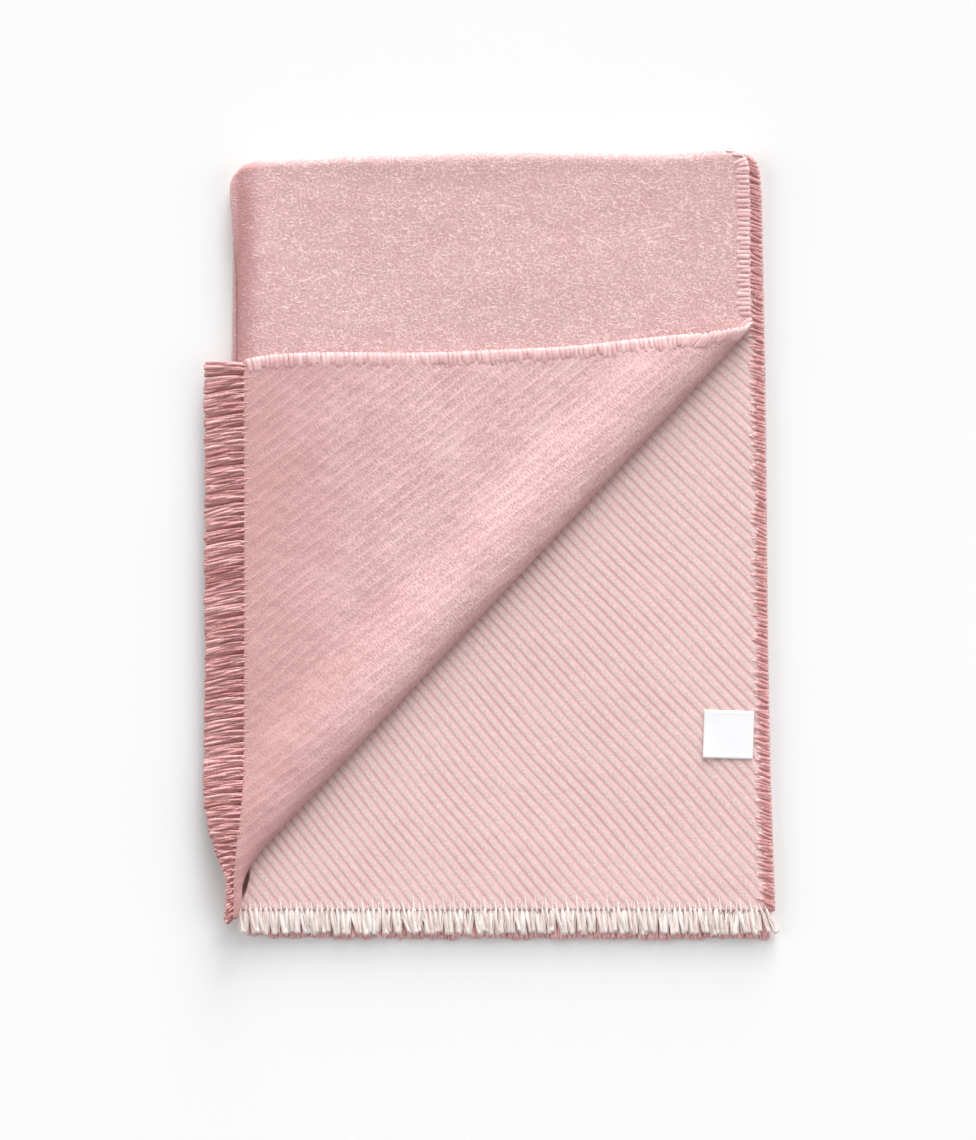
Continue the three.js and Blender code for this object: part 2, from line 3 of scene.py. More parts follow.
import bpy
import numpy as np
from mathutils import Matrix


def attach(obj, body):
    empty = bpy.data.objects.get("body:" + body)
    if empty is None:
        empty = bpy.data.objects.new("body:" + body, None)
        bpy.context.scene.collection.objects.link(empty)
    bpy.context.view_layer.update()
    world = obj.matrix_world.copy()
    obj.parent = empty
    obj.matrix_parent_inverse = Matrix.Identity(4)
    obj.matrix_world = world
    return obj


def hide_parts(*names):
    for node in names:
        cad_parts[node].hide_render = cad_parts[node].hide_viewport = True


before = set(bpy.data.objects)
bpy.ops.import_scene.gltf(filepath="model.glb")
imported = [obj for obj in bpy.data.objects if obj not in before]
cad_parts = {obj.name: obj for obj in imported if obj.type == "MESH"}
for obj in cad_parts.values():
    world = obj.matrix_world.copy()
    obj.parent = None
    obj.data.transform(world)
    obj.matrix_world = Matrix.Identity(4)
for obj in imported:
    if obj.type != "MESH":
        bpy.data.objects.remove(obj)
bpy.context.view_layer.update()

MM = 0.001

# Driving sizes of the cloth, as in the solids
CLOTH_THICKNESS = 3
PITCH_AT_FOLDS = 5.8  # layer to layer, where the folds hold the layers up
PITCH_AT_EDGES = 4.4  # layer to layer, at the free edges
FOLD_HOLD = 75
SWELL = 0.8
GAP = 0.3
MIDDLE = (-0.81, -0.11)
BACK_FOLD_REACH = 12
SIDE_FOLD_BULGE = 4.4
SIDE_FOLD_REACH = SIDE_FOLD_BULGE + CLOTH_THICKNESS / 2
HELD_UP_FROM = {"left": -310, "back": 465}  # the folds hold the layers fully up beyond these
LEFT_DROOP = 2.2  # the top layer rounds off towards its side fold
LEFT_DROOP_FROM = -318
LEFT_DROOP_WIDTH = 24
NEAR_BACK, NEAR_FRONT = 455.0, -440.0  # where a column is looked up before its ends are known
BACK_CORNER = {"left": -318, "back": 470, "across": 42, "deep": 34}

# The turned-back corner
FLAP_PITCH = 4.8
FLAP_SETTLES = 110
ROLL_END = -456
ADVANCE_UNDER = 7  # the roll's tight lower quarter carries the threads this far along itself
ADVANCE_OVER = 0.96  # its broad upper quarter, as a share of that quarter's reach
ADVANCE_FADES = 60
ROLL_WHEN_FULL = {"under_reach": 7, "under_rise": 4.5, "over_reach": 34, "over_rise": 9}
ROLL_AT_TONGUE = {"under_reach": 3.2, "under_rise": 3.2, "over_reach": 3.2, "over_rise": 3.2}
LAID_OUT_STEPS = 10

# Short tables: place, value
BACK_FOLD_LINE = [
    (-320, 469.5), (-280, 470.8), (-182, 476.5), (50, 482), (220, 480), (298, 484.5), (345, 482),
]
UPPER_SIDE_FOLD = [
    (-455, -318.5), (-410, -316.5), (-370, -311), (-300, -308),
    (250, -307), (340, -308), (385, -313), (430, -316.8),
]
LOWER_SIDE_FOLD = [
    (-450, -309), (-400, -312), (-200, -314), (250, -314.5), (370, -313.8), (430, -316.8),
]
TOP, SECOND, THIRD, BOTTOM = range(4)
RIGHT_EDGES = {
    TOP: [(270, 319), (330, 317.5), (455, 316), (470, 313), (480, 306), (486, 299)],
    SECOND: [
        (-440, 348), (-345, 344.6), (-260, 342), (-130, 339.6), (190, 336), (330, 333.3),
        (440, 330.6), (461, 327.5), (469, 324), (475, 316),
    ],
    THIRD: [(-440, 342), (-200, 335), (200, 330), (440, 329.6), (461, 327.5), (469, 324), (475, 316)],
    BOTTOM: [
        (-440, 345), (-200, 338), (200, 326), (455, 316), (470, 313), (480, 306), (486, 299),
    ],
}
FRONT_EDGES = {
    SECOND: [(-312, -445.5), (-100, -446), (150, -445.5), (347, -447)],
    THIRD: [(-312, -439), (-60, -441), (220, -443), (347, -442)],
    BOTTOM: [(-312, -441), (60, -443), (347, -444)],
}
ROLL_LINE = [
    (-457, -306), (-433, -302), (-412, -300.5), (-397, -294.5), (-385, -287), (-366, -272.3),
    (0, 70.8), (300, 351.5),
]
ROLL_FULLNESS = [(-457, 0), (-410, 0.1), (-366, 0.4), (-330, 0.72), (-260, 1)]
# The crosswise threads of the turned-back corner: place along, at each place across
FLAP_THREAD = [
    (-312, 225), (-285, 231), (-250, 235), (-200, 236.6), (-80, 236.6), (20, 240.5),
    (100, 244.5), (180, 253), (240, 258.5), (310, 260.5),
]
FLAP_EDGE = [(-455, -312), (-404, -311), (-360, -307.5), (-300, -301), (-220, -299), (240, -299)]
FLAP_FRINGE_SHARE = [
    (-456, 0.24), (-430, 0.16), (-404, 0.16), (-384, 0.32), (-350, 0.66), (-305, 0.95), (-260, 1),
]

# How finely the cloth is divided: steps of the whole lattice, in blocks of eight
BLOCK = 8
OUTER_STEPS = 240
SIDE_FOLD_STEPS = 8
INNER_STEPS = 232
FLAP_STEPS = 208
ROLL_STEPS = 24
LAYER_STEPS = 304
BACK_FOLD_STEPS = 16
OUTSIDE, INSIDE = 1, -1  # the two faces of the cloth
SEEN_SPACING = {OUTSIDE: 6, INSIDE: 2.9}
HIDDEN_SPACING = 24
SPACING_SLACK = 1.15
# What the turned-back corner and its roll leave to see of the layers below them
FLAP_COVERS = 28
RIGHT_OF_FLAP = 298
ROLL_COVERS = 22
RIM_SWELL = 0.9  # how far the cut edge stands out
OUTER_WIDTH, INNER_WIDTH = 698, 650  # across the outer and the inner layers
# Materials of the cloth, in this order
BRUSHED, TWILL, RIBBED, CUT_EDGE = range(4)

# Woven lines of the second layer, which fan out a little, and of the turned-back corner
RIB_NORMAL = math.radians(42.5)
RIB_PITCH = 10.85
RIB_FAN = -0.0002
RIB_FAN_CENTRE = 230
RIB_DEPTH = 0.46
FLAP_LINE_NORMAL = math.radians(-51.5)
FLAP_LINE_PITCH = 12.1
FLAP_LINE_RISE = 0.12

# Whip stitches of the long edges: the edge's column, its rows and millimetres in a column inwards
OUTER_STITCHES = {
    "column": 0.0, "rows": (-1.995, 2.99), "per_column": OUTER_WIDTH,
    "pitch": 5.7, "shift": 0.16, "slant": 0.3, "slant_varies": 1.2, "length": 15.5, "beyond": 0.8,
    "length_varies": 0.2, "width": 5.7, "width_varies": 0.16, "height": 1.35, "rise": 0.6,
}
INNER_STITCHES = {
    "column": 3.0, "rows": (0.004, 2.99), "per_column": -INNER_WIDTH,
    "pitch": 3.6, "shift": 0.5, "slant": 4.6, "slant_varies": 4.2, "length": 15.5, "beyond": 0.9,
    "length_varies": 0.35, "width": 4.1, "width_varies": 0.3, "height": 1.2, "rise": 0.5,
}
# Along a stitch: 0 on the seen face, 1 at the edge, more below it. Then its heights and widths
STITCH_SHARES = np.array([0, 0.08, 0.25, 0.5, 0.75, 0.92, 1.0, 1.08, 1.25, 1.45, 1.6])
STITCH_HEIGHTS = np.array([-1.0, -0.4, 0.3, 0.8, 0.95, 0.6, 0.0, -0.6, -0.7, -0.6, 0.3])
STITCH_PROFILE = np.array([0.35, 0.8, 1, 1, 1, 0.95, 0.9, 0.85, 0.7, 0.6, 0.3])

# The yarns in a strand of each fringe, with their radius at places from root to tip. The pointed
# roots have a long and a short length and two radii. Under each strand lies one more yarn: how
# far beside it, how far below and its radius
WHITE_YARNS = {
    "plies": 2, "part": 1.5, "twist": 0.5, "turns": 0.7, "sides": 7, "ends_vary": 1.2, "arch": 0.6,
    "gather_root": -0.3, "gather_tip": 0.5, "lean": 2.8, "wander": 2.2, "stout_varies": 0.2,
    "radius": [(-0.16, 1.5), (0, 1.6), (0.4, 1.6), (0.75, 1.9), (0.92, 2.5), (1, 2.4)],
    "part_at": [(0, 0.8), (0.5, 1), (1, 0.9)], "pointed": (12.5, 7.0, 1.45, 1.1), "fibres": 4,
    "under": (3.1, 1.4, 1.7),
}
FLAP_YARNS = {
    "plies": 3, "part": 2.5, "twist": 0.35, "turns": 0.8, "sides": 6, "ends_vary": 1.0, "arch": 1.0,
    "gather_root": 0.9, "gather_tip": 0.3, "lean": 9.5, "wander": 1.6, "stout_varies": 0.16,
    "radius": [(-0.16, 1.1), (0, 1.3), (0.3, 1.45), (0.6, 1.8), (0.9, 2.3), (1, 2.1)],
    "part_at": [(0, 0.55), (0.35, 0.8), (0.6, 1), (1, 1)], "pointed": (7.5, 5.0, 1.7, 1.4),
    "fibres": 5, "under": (3.9, 1.6, 2.5),
}
LOWER_YARNS = {
    "plies": 5, "part": 2.2, "twist": 0.5, "turns": 0.7, "sides": 6, "ends_vary": 1.6, "arch": 0.2,
    "gather_root": 0.2, "gather_tip": 0, "lean": 0.4, "wander": 1.0, "stout_varies": 0.12,
    "radius": [(-0.16, 0.9), (0, 1.3), (0.6, 1.5), (0.9, 1.9), (1, 1.8)],
    "part_at": [(0, 1), (1, 1)], "pointed": None, "fibres": 0, "under": None,
}
# The strands of each fringe. The trims keep it from the ends of its edge. Strands fan out by so
# many radians along an axis of the plan, 0 or 1, from a place on, over a distance
WHITE_FRINGE = {
    **WHITE_YARNS, "count": 104, "length": 24.5, "uneven": 2.2, "droop": 2.2, "pair": 1.1,
    "sway": 1.2, "trims": (5, 6), "flat": False, "fans": [(0.38, 0, 318, 22)],
}
FLAP_FRINGE = {
    **FLAP_YARNS, "count": 88, "length": 44.5, "uneven": 1.4, "droop": 6.5, "pair": 0.35,
    "sway": 0.5, "trims": (1, 2), "flat": False, "fans": [(0.6, 1, -350, -90), (-0.17, 1, 190, 34)],
}
THIRD_FRINGE = {
    **LOWER_YARNS, "count": 48, "length": 33.5, "uneven": 2.2, "droop": 1.8, "pair": 0.8,
    "sway": 0.8, "trims": (5, 2), "flat": False, "fans": [],
}
BOTTOM_FRINGE = {**THIRD_FRINGE, "count": 49, "length": 34.5, "droop": 0.3, "flat": True}
FIBRE_RADIUS = 0.45
BACKING_WIDTH = 4
ROOT_DEPTH = 1.5
ROOTS_REACH_OUT = 5.0
OUTWARD_SPAN = 0.05
# The yarn under each strand is tinted darker than the rest: painted shade beneath the strands
ROOT_TINT, UNDER_PAINTED_SHADE_TINT, FIBRE_TINT = 0.6, -0.4, 0.9
LOWEST_POINT = 0.03
UPWARDS = np.array([0.0, 0.0, 1.0])
# Stations of a strand as shares of its length: below 0 in the cloth's edge, then from root to tip
ROOT_SHARE = 0.16
STATIONS = np.append(np.linspace(-ROOT_SHARE, 0.9, 19), [0.94, 0.97, 0.99, 1.0])
FORWARD = np.clip(STATIONS, 0, 1)
CLOSING = np.sqrt(np.clip((1.0 - STATIONS) / 0.07, 0.02, 1))

# The label, on the second layer beside its right edge
LABEL = {
    "x": 292, "y": -231.5, "width": 61, "length": 59, "thickness": 0.6, "turn": -0.035,
    "above_ribs": 0.6, "hem_width": 5.2, "hem_rise": 0.14,
}
LABEL_STEPS = 40

# Curls of the brushed wool, dashes of the turned-back corner and threads of the label
CURL_SIZE = 5.6
CURL_WARP = 5.0
CURL_WARP_SIZE = 3.4
CURL_WIDTH = 0.13  # share of a cell
STRAY_SIZE = 4.4
STRAY_WIDTH = 0.035  # share of the noise
DASH_WIDTH, DASH_LENGTH = 4.2, 2.0
WARP_PITCH, WEFT_PITCH = 0.9, 0.7
# Painted shade by place in metres: from, to, and the shade's share at both
LEFT_SHADE_INSIDE = (-0.300, -0.262, 1.0, 0.0)
LEFT_SHADE_OUTSIDE = (-0.314, -0.303, 0.25, 1.0)
FLAP_SHADE = (-0.27, -0.02, 1.0, 0.0)
ROLL_SHADE = {"slope": 0.9366, "start": 0.0716, "width": 0.034}  # beside the rolled edge in plan
# A painted shadow on the second layer, in the hollow beside the narrow end of the fold
OPENING = {"x": -0.2966, "y": -0.4135, "half_width": 0.0036, "half_length": 0.021, "tilt": 0.25}

WAVES_LAID_OVER = 14  # how many waves make up the soft relief
# Soft troughs and ridges of the seen faces: x, y, half length, half width, angle in degrees, rise
CREASES = [
    (-120, 440, 190, 16, -3, -0.5),
    (150, 452, 150, 12, 2, -0.4),
    (-255, 330, 110, 20, 84, -0.6),
    (60, 330, 210, 34, 9, 0.6),
    (-190, 120, 150, 30, 50, 0.7),
    (-60, -20, 190, 22, 43, -0.5),
    (-215, -170, 130, 26, 70, 0.6),
    (180, -140, 260, 36, 52, 0.5),
    (120, -330, 210, 26, -8, -0.4),
    (250, 40, 150, 22, 80, -0.4),
]


def mix(start, end, share):
    return start + (end - start) * share


def ease(share):
    return (1 - np.cos(np.pi * np.clip(share, 0, 1))) / 2


def uneven(index, series):
    """A repeatable uneven number from -1 to 1 for each whole number, as in the solids."""
    wave = np.sin(index * 12.9898 + series * 78.233) * 43758.5453
    return 2 * (wave - np.floor(wave)) - 1


def unit(vectors):
    return vectors / np.maximum(np.linalg.norm(vectors, axis=-1, keepdims=True), 1e-9)


def running_length(line):
    return np.append(0, np.cumsum(np.linalg.norm(np.diff(line, axis=0), axis=-1)))


def keep_above_floor(paths, radii):
    paths[..., 2] = np.maximum(paths[..., 2], radii + 0.05)


def along(rows, at):
    """Smooth curve through the rows of a short table."""
    places, values = np.array(rows, float).T
    last = len(rows) - 1
    before = np.maximum(np.arange(last + 1) - 1, 0)
    after = np.minimum(np.arange(last + 1) + 1, last)
    slopes = (values[after] - values[before]) / (places[after] - places[before])
    at = np.clip(at, places[0], places[last])
    index = np.clip(np.searchsorted(places, at) - 1, 0, last - 1)
    span = places[index + 1] - places[index]
    share = (at - places[index]) / span
    square, cube = share**2, share**3
    return (
        values[index] * (2 * cube - 3 * square + 1)
        + slopes[index] * span * (cube - 2 * square + share)
        + values[index + 1] * (3 * square - 2 * cube)
        + slopes[index + 1] * span * (cube - square)
    )


def layer_height(layer, x, y):
    """Height of the middle of a layer. The bottom layer lies flat."""
    level = BOTTOM - layer
    near_side = np.exp(-np.maximum(x - HELD_UP_FROM["left"], 0) / FOLD_HOLD)
    near_back = np.exp(-np.maximum(HELD_UP_FROM["back"] - y, 0) / FOLD_HOLD)
    pitch = mix(PITCH_AT_EDGES, PITCH_AT_FOLDS, 1 - (1 - near_side) * (1 - near_back))
    waves = np.sin(x / 97 + 0.6) * np.cos(y / 121 - 0.4) + 0.5 * np.sin((x + y) / 63 + 1.1)
    height = CLOTH_THICKNESS / 2 + level * pitch + SWELL * (level / BOTTOM) * waves
    if layer != TOP:
        return height
    return height - LEFT_DROOP * np.exp(-(((x - LEFT_DROOP_FROM) / LEFT_DROOP_WIDTH) ** 2))


def side_fold_start(upper, y):
    return along(UPPER_SIDE_FOLD if upper else LOWER_SIDE_FOLD, y) + SIDE_FOLD_REACH


def round_back_corner(x, y):
    across = (BACK_CORNER["left"] + BACK_CORNER["across"] - x) / BACK_CORNER["across"]
    deep = (y - BACK_CORNER["back"] + BACK_CORNER["deep"]) / BACK_CORNER["deep"]
    inside = (across > 0) & (deep > 0)
    round_across = across * np.sqrt(1 - np.minimum(deep**2, 1) / 2)
    round_deep = deep * np.sqrt(1 - np.minimum(across**2, 1) / 2)
    rounded_x = BACK_CORNER["left"] + BACK_CORNER["across"] * (1 - round_across)
    rounded_y = BACK_CORNER["back"] - BACK_CORNER["deep"] * (1 - round_deep)
    return np.where(inside, rounded_x, x), np.where(inside, rounded_y, y)


def roll_section(y):
    """Sizes of the roll's section at a place along its outside line."""
    fullness = along(ROLL_FULLNESS, y)
    return {
        name: mix(ROLL_AT_TONGUE[name], size, fullness) for name, size in ROLL_WHEN_FULL.items()
    }


def roll_at(y):
    """The roll at a place along its outside line: where the cloth leaves the top layer, the way
    the roll faces and its section."""
    lean = (along(ROLL_LINE, y + 1) - along(ROLL_LINE, y - 1)) / 2
    size = np.hypot(1, lean)
    section = roll_section(y)
    face_x, face_y = 1 / size, -lean / size
    reach = section["under_reach"] + CLOTH_THICKNESS / 2
    return along(ROLL_LINE, y) - face_x * reach, y - face_y * reach, face_x, face_y, section


def share_of_top_layer(axis_x, axis_y):
    right = along(RIGHT_EDGES[TOP], axis_y)
    return (axis_x - right) / (side_fold_start(True, axis_y) - right)


def roll_start():
    """Place along the roll where it meets the right edge of the top layer."""
    low, high = 0.0, 290.0
    for _ in range(40):
        middle = (low + high) / 2
        if share_of_top_layer(*roll_at(middle)[:2]) > 0:
            low = middle
        else:
            high = middle
    return low


ROLL_STARTS = roll_start()
TABLE_COLUMNS = np.linspace(0, 1, 500)


def place_on_roll(column):
    return mix(ROLL_STARTS, ROLL_END, np.clip(column, 0, 1))


def across_pair(column, upper, y, offset):
    """Place across and height in the upper or lower pair of layers. Columns run from 0 to 1 over
    the outer layer, to 2 around the side fold and to 3 over the inner layer."""
    outer_layer, inner_layer = (TOP, SECOND) if upper else (BOTTOM, THIRD)
    outwards = offset if upper else -offset
    fold = side_fold_start(upper, y)
    axis_x, axis_y = roll_at(place_on_roll(column))[:2]
    share = np.where(column >= 1, 1, np.clip(share_of_top_layer(axis_x, axis_y), 0, 1))
    outer_x = mix(along(RIGHT_EDGES[outer_layer], y), fold, share)
    inner_x = mix(fold, along(RIGHT_EDGES[inner_layer], y), np.clip(column - 2, 0, 1))
    angle = np.pi * np.clip(column - 1, 0, 1)
    outer_height = layer_height(outer_layer, fold, y)
    inner_height = layer_height(inner_layer, fold, y)
    half_height = (outer_height - inner_height) / 2
    fold_x = fold - (SIDE_FOLD_BULGE + offset) * np.sin(angle)
    fold_z = (outer_height + inner_height) / 2 + (half_height + outwards) * np.cos(angle)
    is_outer, is_inner = column <= 1, column >= 2
    x = np.where(is_outer, outer_x, np.where(is_inner, inner_x, fold_x))
    outer_z = layer_height(outer_layer, outer_x, y) + outwards
    inner_z = layer_height(inner_layer, inner_x, y) - outwards
    return x, np.where(is_outer, outer_z, np.where(is_inner, inner_z, fold_z))


def front_of(column, upper):
    """Front end of a column in the upper or the lower pair of layers."""
    x = across_pair(column, upper, NEAR_FRONT, 0)[0]
    if upper:
        outer_front = roll_at(place_on_roll(column))[1]
        inner_front = along(FRONT_EDGES[SECOND], x)
    else:
        outer_front = along(FRONT_EDGES[BOTTOM], x)
        inner_front = along(FRONT_EDGES[THIRD], x)
    return mix(outer_front, inner_front, np.clip(column - 1, 0, 1))


def main_cloth(column, row, offset):
    """Rows run from the front of the upper pair, around the back fold, to the front of the lower."""
    near_back = across_pair(column, True, NEAR_BACK, 0)[0]
    fold_y = along(BACK_FOLD_LINE, near_back) - BACK_FOLD_REACH
    upper_y = mix(front_of(column, True), fold_y, np.clip(row, 0, 1))
    lower_y = mix(front_of(column, False), fold_y, np.clip(3 - row, 0, 1))
    upper_x, upper_z = across_pair(column, True, upper_y, offset)
    lower_x, lower_z = across_pair(column, False, lower_y, offset)
    angle = np.pi * np.clip(row - 1, 0, 1)
    above = across_pair(column, True, fold_y, offset)[1]
    below = across_pair(column, False, fold_y, offset)[1]
    radius = (above - below) / 2
    stack = layer_height(TOP, near_back, fold_y) - layer_height(BOTTOM, near_back, fold_y)
    widest = (stack + CLOTH_THICKNESS) / 2
    turn_y = fold_y + BACK_FOLD_REACH * (radius / widest) * np.sin(angle)
    turn_x = mix(
        across_pair(column, True, turn_y, offset)[0],
        across_pair(column, False, turn_y, offset)[0],
        (1 - np.cos(angle)) / 2,
    )
    turn_z = (above + below) / 2 + radius * np.cos(angle)
    is_upper, is_lower = row <= 1, row >= 2
    x = np.where(is_upper, upper_x, np.where(is_lower, lower_x, turn_x))
    y = np.where(is_upper, upper_y, np.where(is_lower, lower_y, turn_y))
    z = np.where(is_upper, upper_z, np.where(is_lower, lower_z, turn_z))
    return (*round_back_corner(x, y), z)


def roll_turned(column, share):
    """The roll under a column, from share 0, where it leaves the top layer, to 1, turned over."""
    on_roll = place_on_roll(column)
    fade = np.clip((on_roll - ROLL_END) / ADVANCE_FADES, 0, 1)
    angle = np.pi * (share - 0.5)
    over = np.where(share > 0.5, 1 - np.cos(angle), 0)
    over_reach = roll_section(on_roll)["over_reach"]
    advance = ADVANCE_UNDER * np.minimum(2 * share, 1) + ADVANCE_OVER * over_reach * over
    x, y, face_x, face_y, section = roll_at(on_roll - fade * advance)
    x = np.where(column >= 1, side_fold_start(True, y), x)
    return x, y, face_x, face_y, section, angle


def roll_quarter(section, angle):
    """Reach and rise of the quarter of the roll's section that this angle is in."""
    reach = np.where(angle < 0, section["under_reach"], section["over_reach"])
    return reach, np.where(angle < 0, section["under_rise"], section["over_rise"])


def rolled_cloth(column, share, offset):
    x, y, face_x, face_y, section, angle = roll_turned(column, share)
    reach, rise = roll_quarter(section, angle)
    steepness = np.hypot(np.cos(angle) / reach, np.sin(angle) / rise)
    outwards = np.cos(angle) / reach / steepness
    upwards = np.sin(angle) / rise / steepness
    forward = section["under_reach"] - reach * (1 - np.cos(angle)) - offset * outwards
    place_x, place_y = x + face_x * forward, y + face_y * forward
    height = section["under_rise"] + rise * np.sin(angle) - offset * upwards
    return place_x, place_y, layer_height(TOP, place_x, place_y) + height


def flap_cloth(column, share, offset):
    start_x, start_y, _ = rolled_cloth(column, 1.0, 0.0)
    section = roll_turned(column, 1.0)[4]
    x = mix(start_x, along(FLAP_EDGE, start_y), share)
    y = start_y + along(FLAP_THREAD, x) - along(FLAP_THREAD, start_x)
    settled = ease((start_x - x) / FLAP_SETTLES)
    lift = mix(section["under_rise"] + section["over_rise"], FLAP_PITCH, settled)
    return x, y, layer_height(TOP, x, y) + lift - offset


def cloth_place(column, row, offset):
    """A point of the cloth. Rows -2 to -1 are the turned-back corner from its left edge, -1 to 0
    the roll and 0 to 3 the four layers. The offset is from the middle towards the outer face."""
    column, row, offset = np.broadcast_arrays(
        np.asarray(column, float), np.asarray(row, float), np.asarray(offset, float)
    )
    main = main_cloth(column, row, offset)
    rolled = rolled_cloth(column, np.clip(-row, 0, 1), offset)
    flap = flap_cloth(column, np.clip(-1 - row, 0, 1), offset)
    parts = [
        np.where(row >= 0, on_main, np.where(row >= -1, on_roll, on_flap))
        for on_main, on_roll, on_flap in zip(main, rolled, flap)
    ]
    return np.stack(parts, axis=-1)


def laid_out_length(section, angle):
    """Length of the roll's section from this angle to where it has turned over."""
    total = 0
    for step in range(LAID_OUT_STEPS):
        middle = mix(angle, np.pi / 2, (step + 0.5) / LAID_OUT_STEPS)
        reach, rise = roll_quarter(section, middle)
        total = total + np.hypot(reach * np.sin(middle), rise * np.cos(middle))
    return total * (np.pi / 2 - angle) / LAID_OUT_STEPS


def thread_place(column, row, place):
    """Plan place of a point with the roll laid out flat, so that woven lines run on over it."""
    x, y, face_x, face_y, section, angle = roll_turned(column, np.clip(-row, 0, 1))
    forward = section["under_reach"] - section["over_reach"] + laid_out_length(section, angle)
    on_roll = (row < 0) & (row > -1)
    return (
        np.where(on_roll, x + face_x * forward, place[..., 0]),
        np.where(on_roll, y + face_y * forward, place[..., 1]),
    )


def find_on_flap(x, y):
    """Column and row of the turned-back corner at a place in plan."""
    start_x, start_y, _ = rolled_cloth(TABLE_COLUMNS, 1.0, 0.0)
    start_x, start_y, columns = start_x[::-1], start_y[::-1], TABLE_COLUMNS[::-1]
    at_y = y
    for _ in range(4):
        at_x = np.interp(at_y, start_y, start_x)
        at_y = y + along(FLAP_THREAD, at_x) - along(FLAP_THREAD, x)
    share = (at_x - x) / (at_x - along(FLAP_EDGE, at_y))
    return np.interp(at_y, start_y, columns), -1 - np.clip(share, 0, 1)


def find_on_top(x, y):
    """Column and row of the top layer at a place in plan."""
    axis_x, axis_y = roll_at(place_on_roll(TABLE_COLUMNS))[:2]
    right = along(RIGHT_EDGES[TOP], y)
    share = (x - right) / (side_fold_start(True, y) - right)
    column = np.interp(share, share_of_top_layer(axis_x, axis_y), TABLE_COLUMNS)
    front = np.interp(column, TABLE_COLUMNS, axis_y)
    fold_y = along(BACK_FOLD_LINE, across_pair(column, True, NEAR_BACK, 0)[0]) - BACK_FOLD_REACH
    return column, np.clip((y - front) / (fold_y - front), 0, 1)


def turned_plan(x, y, normal):
    """A plan place as distances across and down lines with this normal."""
    return x * math.cos(normal) + y * math.sin(normal), x * math.sin(normal) - y * math.cos(normal)


def woven_lines(column, row, place):
    """How many line pitches across and how far down the woven lines a point of the inner face is."""
    x, y = thread_place(column, row, place)
    across, down = turned_plan(x, y, RIB_NORMAL)
    sway = 1.3 * np.sin(down / 71 + across / 160) + 0.8 * np.sin(down / 33 - across / 90)
    rib = (across * (1 + RIB_FAN * (down - RIB_FAN_CENTRE)) + sway) / RIB_PITCH
    flap_across, flap_down = turned_plan(x, y, FLAP_LINE_NORMAL)
    sway = 1.6 * np.sin(flap_down / 83 + flap_across / 140) + 0.7 * np.sin(flap_down / 29)
    flap = (flap_across + sway) / FLAP_LINE_PITCH
    on_second = (column >= 1.5) & (row <= 1)
    return np.where(on_second, rib, flap), np.where(on_second, down, flap_down)


def soft_waves(x, y, wave, series):
    """Even, directionless soft relief from -1 to 1 with waves of about one length."""
    total = np.zeros(np.broadcast(x, y).shape)
    for index in range(WAVES_LAID_OVER):
        angle = np.pi * (index + 0.5 * uneven(index, series)) / WAVES_LAID_OVER
        length = wave * (1 + 0.35 * uneven(index, series + 1))
        shift = 7 * uneven(index, series + 2)
        total += np.sin(2 * np.pi * (x * np.cos(angle) + y * np.sin(angle)) / length + shift)
    return total / math.sqrt(WAVES_LAID_OVER)


def creases(x, y):
    total = np.zeros(np.shape(x))
    bend = 6 * np.sin((x + y) / 47)
    for middle_x, middle_y, half_length, half_width, degrees, rise in CREASES:
        turn = math.radians(degrees)
        lengthwise = (x - middle_x) * math.cos(turn) + (y - middle_y) * math.sin(turn)
        sideways = (y - middle_y) * math.cos(turn) - (x - middle_x) * math.sin(turn) + bend
        total += rise * np.exp(-((lengthwise / half_length) ** 2) - (sideways / half_width) ** 2)
    return total


def relief(face, column, row, place, lines):
    """How far a seen face stands proud of the plain cloth."""
    x, y = place[..., 0], place[..., 1]
    soft = 0.16 * soft_waves(x, y, 26, 3) + creases(x, y)
    if face == OUTSIDE:
        felt = soft + 0.08 * soft_waves(x, y, 17, 11)
        return np.where((row <= 1) & (row >= 0) & (column <= 1), felt, 0.3 * felt)
    rib = RIB_DEPTH * (0.5 * np.cos(2 * np.pi * lines) - 0.4)
    flap = FLAP_LINE_RISE * np.cos(2 * np.pi * lines) + 0.05 * soft_waves(x, y, 8, 17)
    on_second = (column >= 2) & (row <= 1)
    return np.where(row < 0, soft + flap, np.where(on_second, 0.5 * soft + rib, 0.0))


def spread(*steps):
    """Lattice coordinates from stretches of steps: each stretch spans one unit."""
    stops = [np.arange(count) / count + index for index, count in enumerate(steps)]
    return np.append(np.concatenate(stops), len(steps))


COLUMNS = spread(OUTER_STEPS, SIDE_FOLD_STEPS, INNER_STEPS)
ROWS = spread(FLAP_STEPS, ROLL_STEPS, LAYER_STEPS, BACK_FOLD_STEPS, LAYER_STEPS) - 2
FRONT_ROW = FLAP_STEPS + ROLL_STEPS
# The lattice cells that hold cloth: only the outer layer has a turned-back corner
CELLS = np.ones((len(COLUMNS) - 1, len(ROWS) - 1), bool)
CELLS[OUTER_STEPS:, :FRONT_ROW] = False


def seen(face, column, row, place):
    """Whether a place on the cloth shows from above or from the side."""
    x, y = place[:2]
    on_upper = 0 <= row <= 1
    if face == INSIDE:
        beside_roll = x - along(ROLL_LINE, y) > -ROLL_COVERS
        return row < -0.2 or (on_upper and column >= 2 and beside_roll)
    uncovered = y > along(FLAP_THREAD, x) - FLAP_COVERS or x > RIGHT_OF_FLAP
    at_left = on_upper and 0.98 <= column <= 2
    at_back = 0.98 < row < 2.02 and column <= 1
    return (on_upper and column <= 1 and uncovered) or at_left or at_back


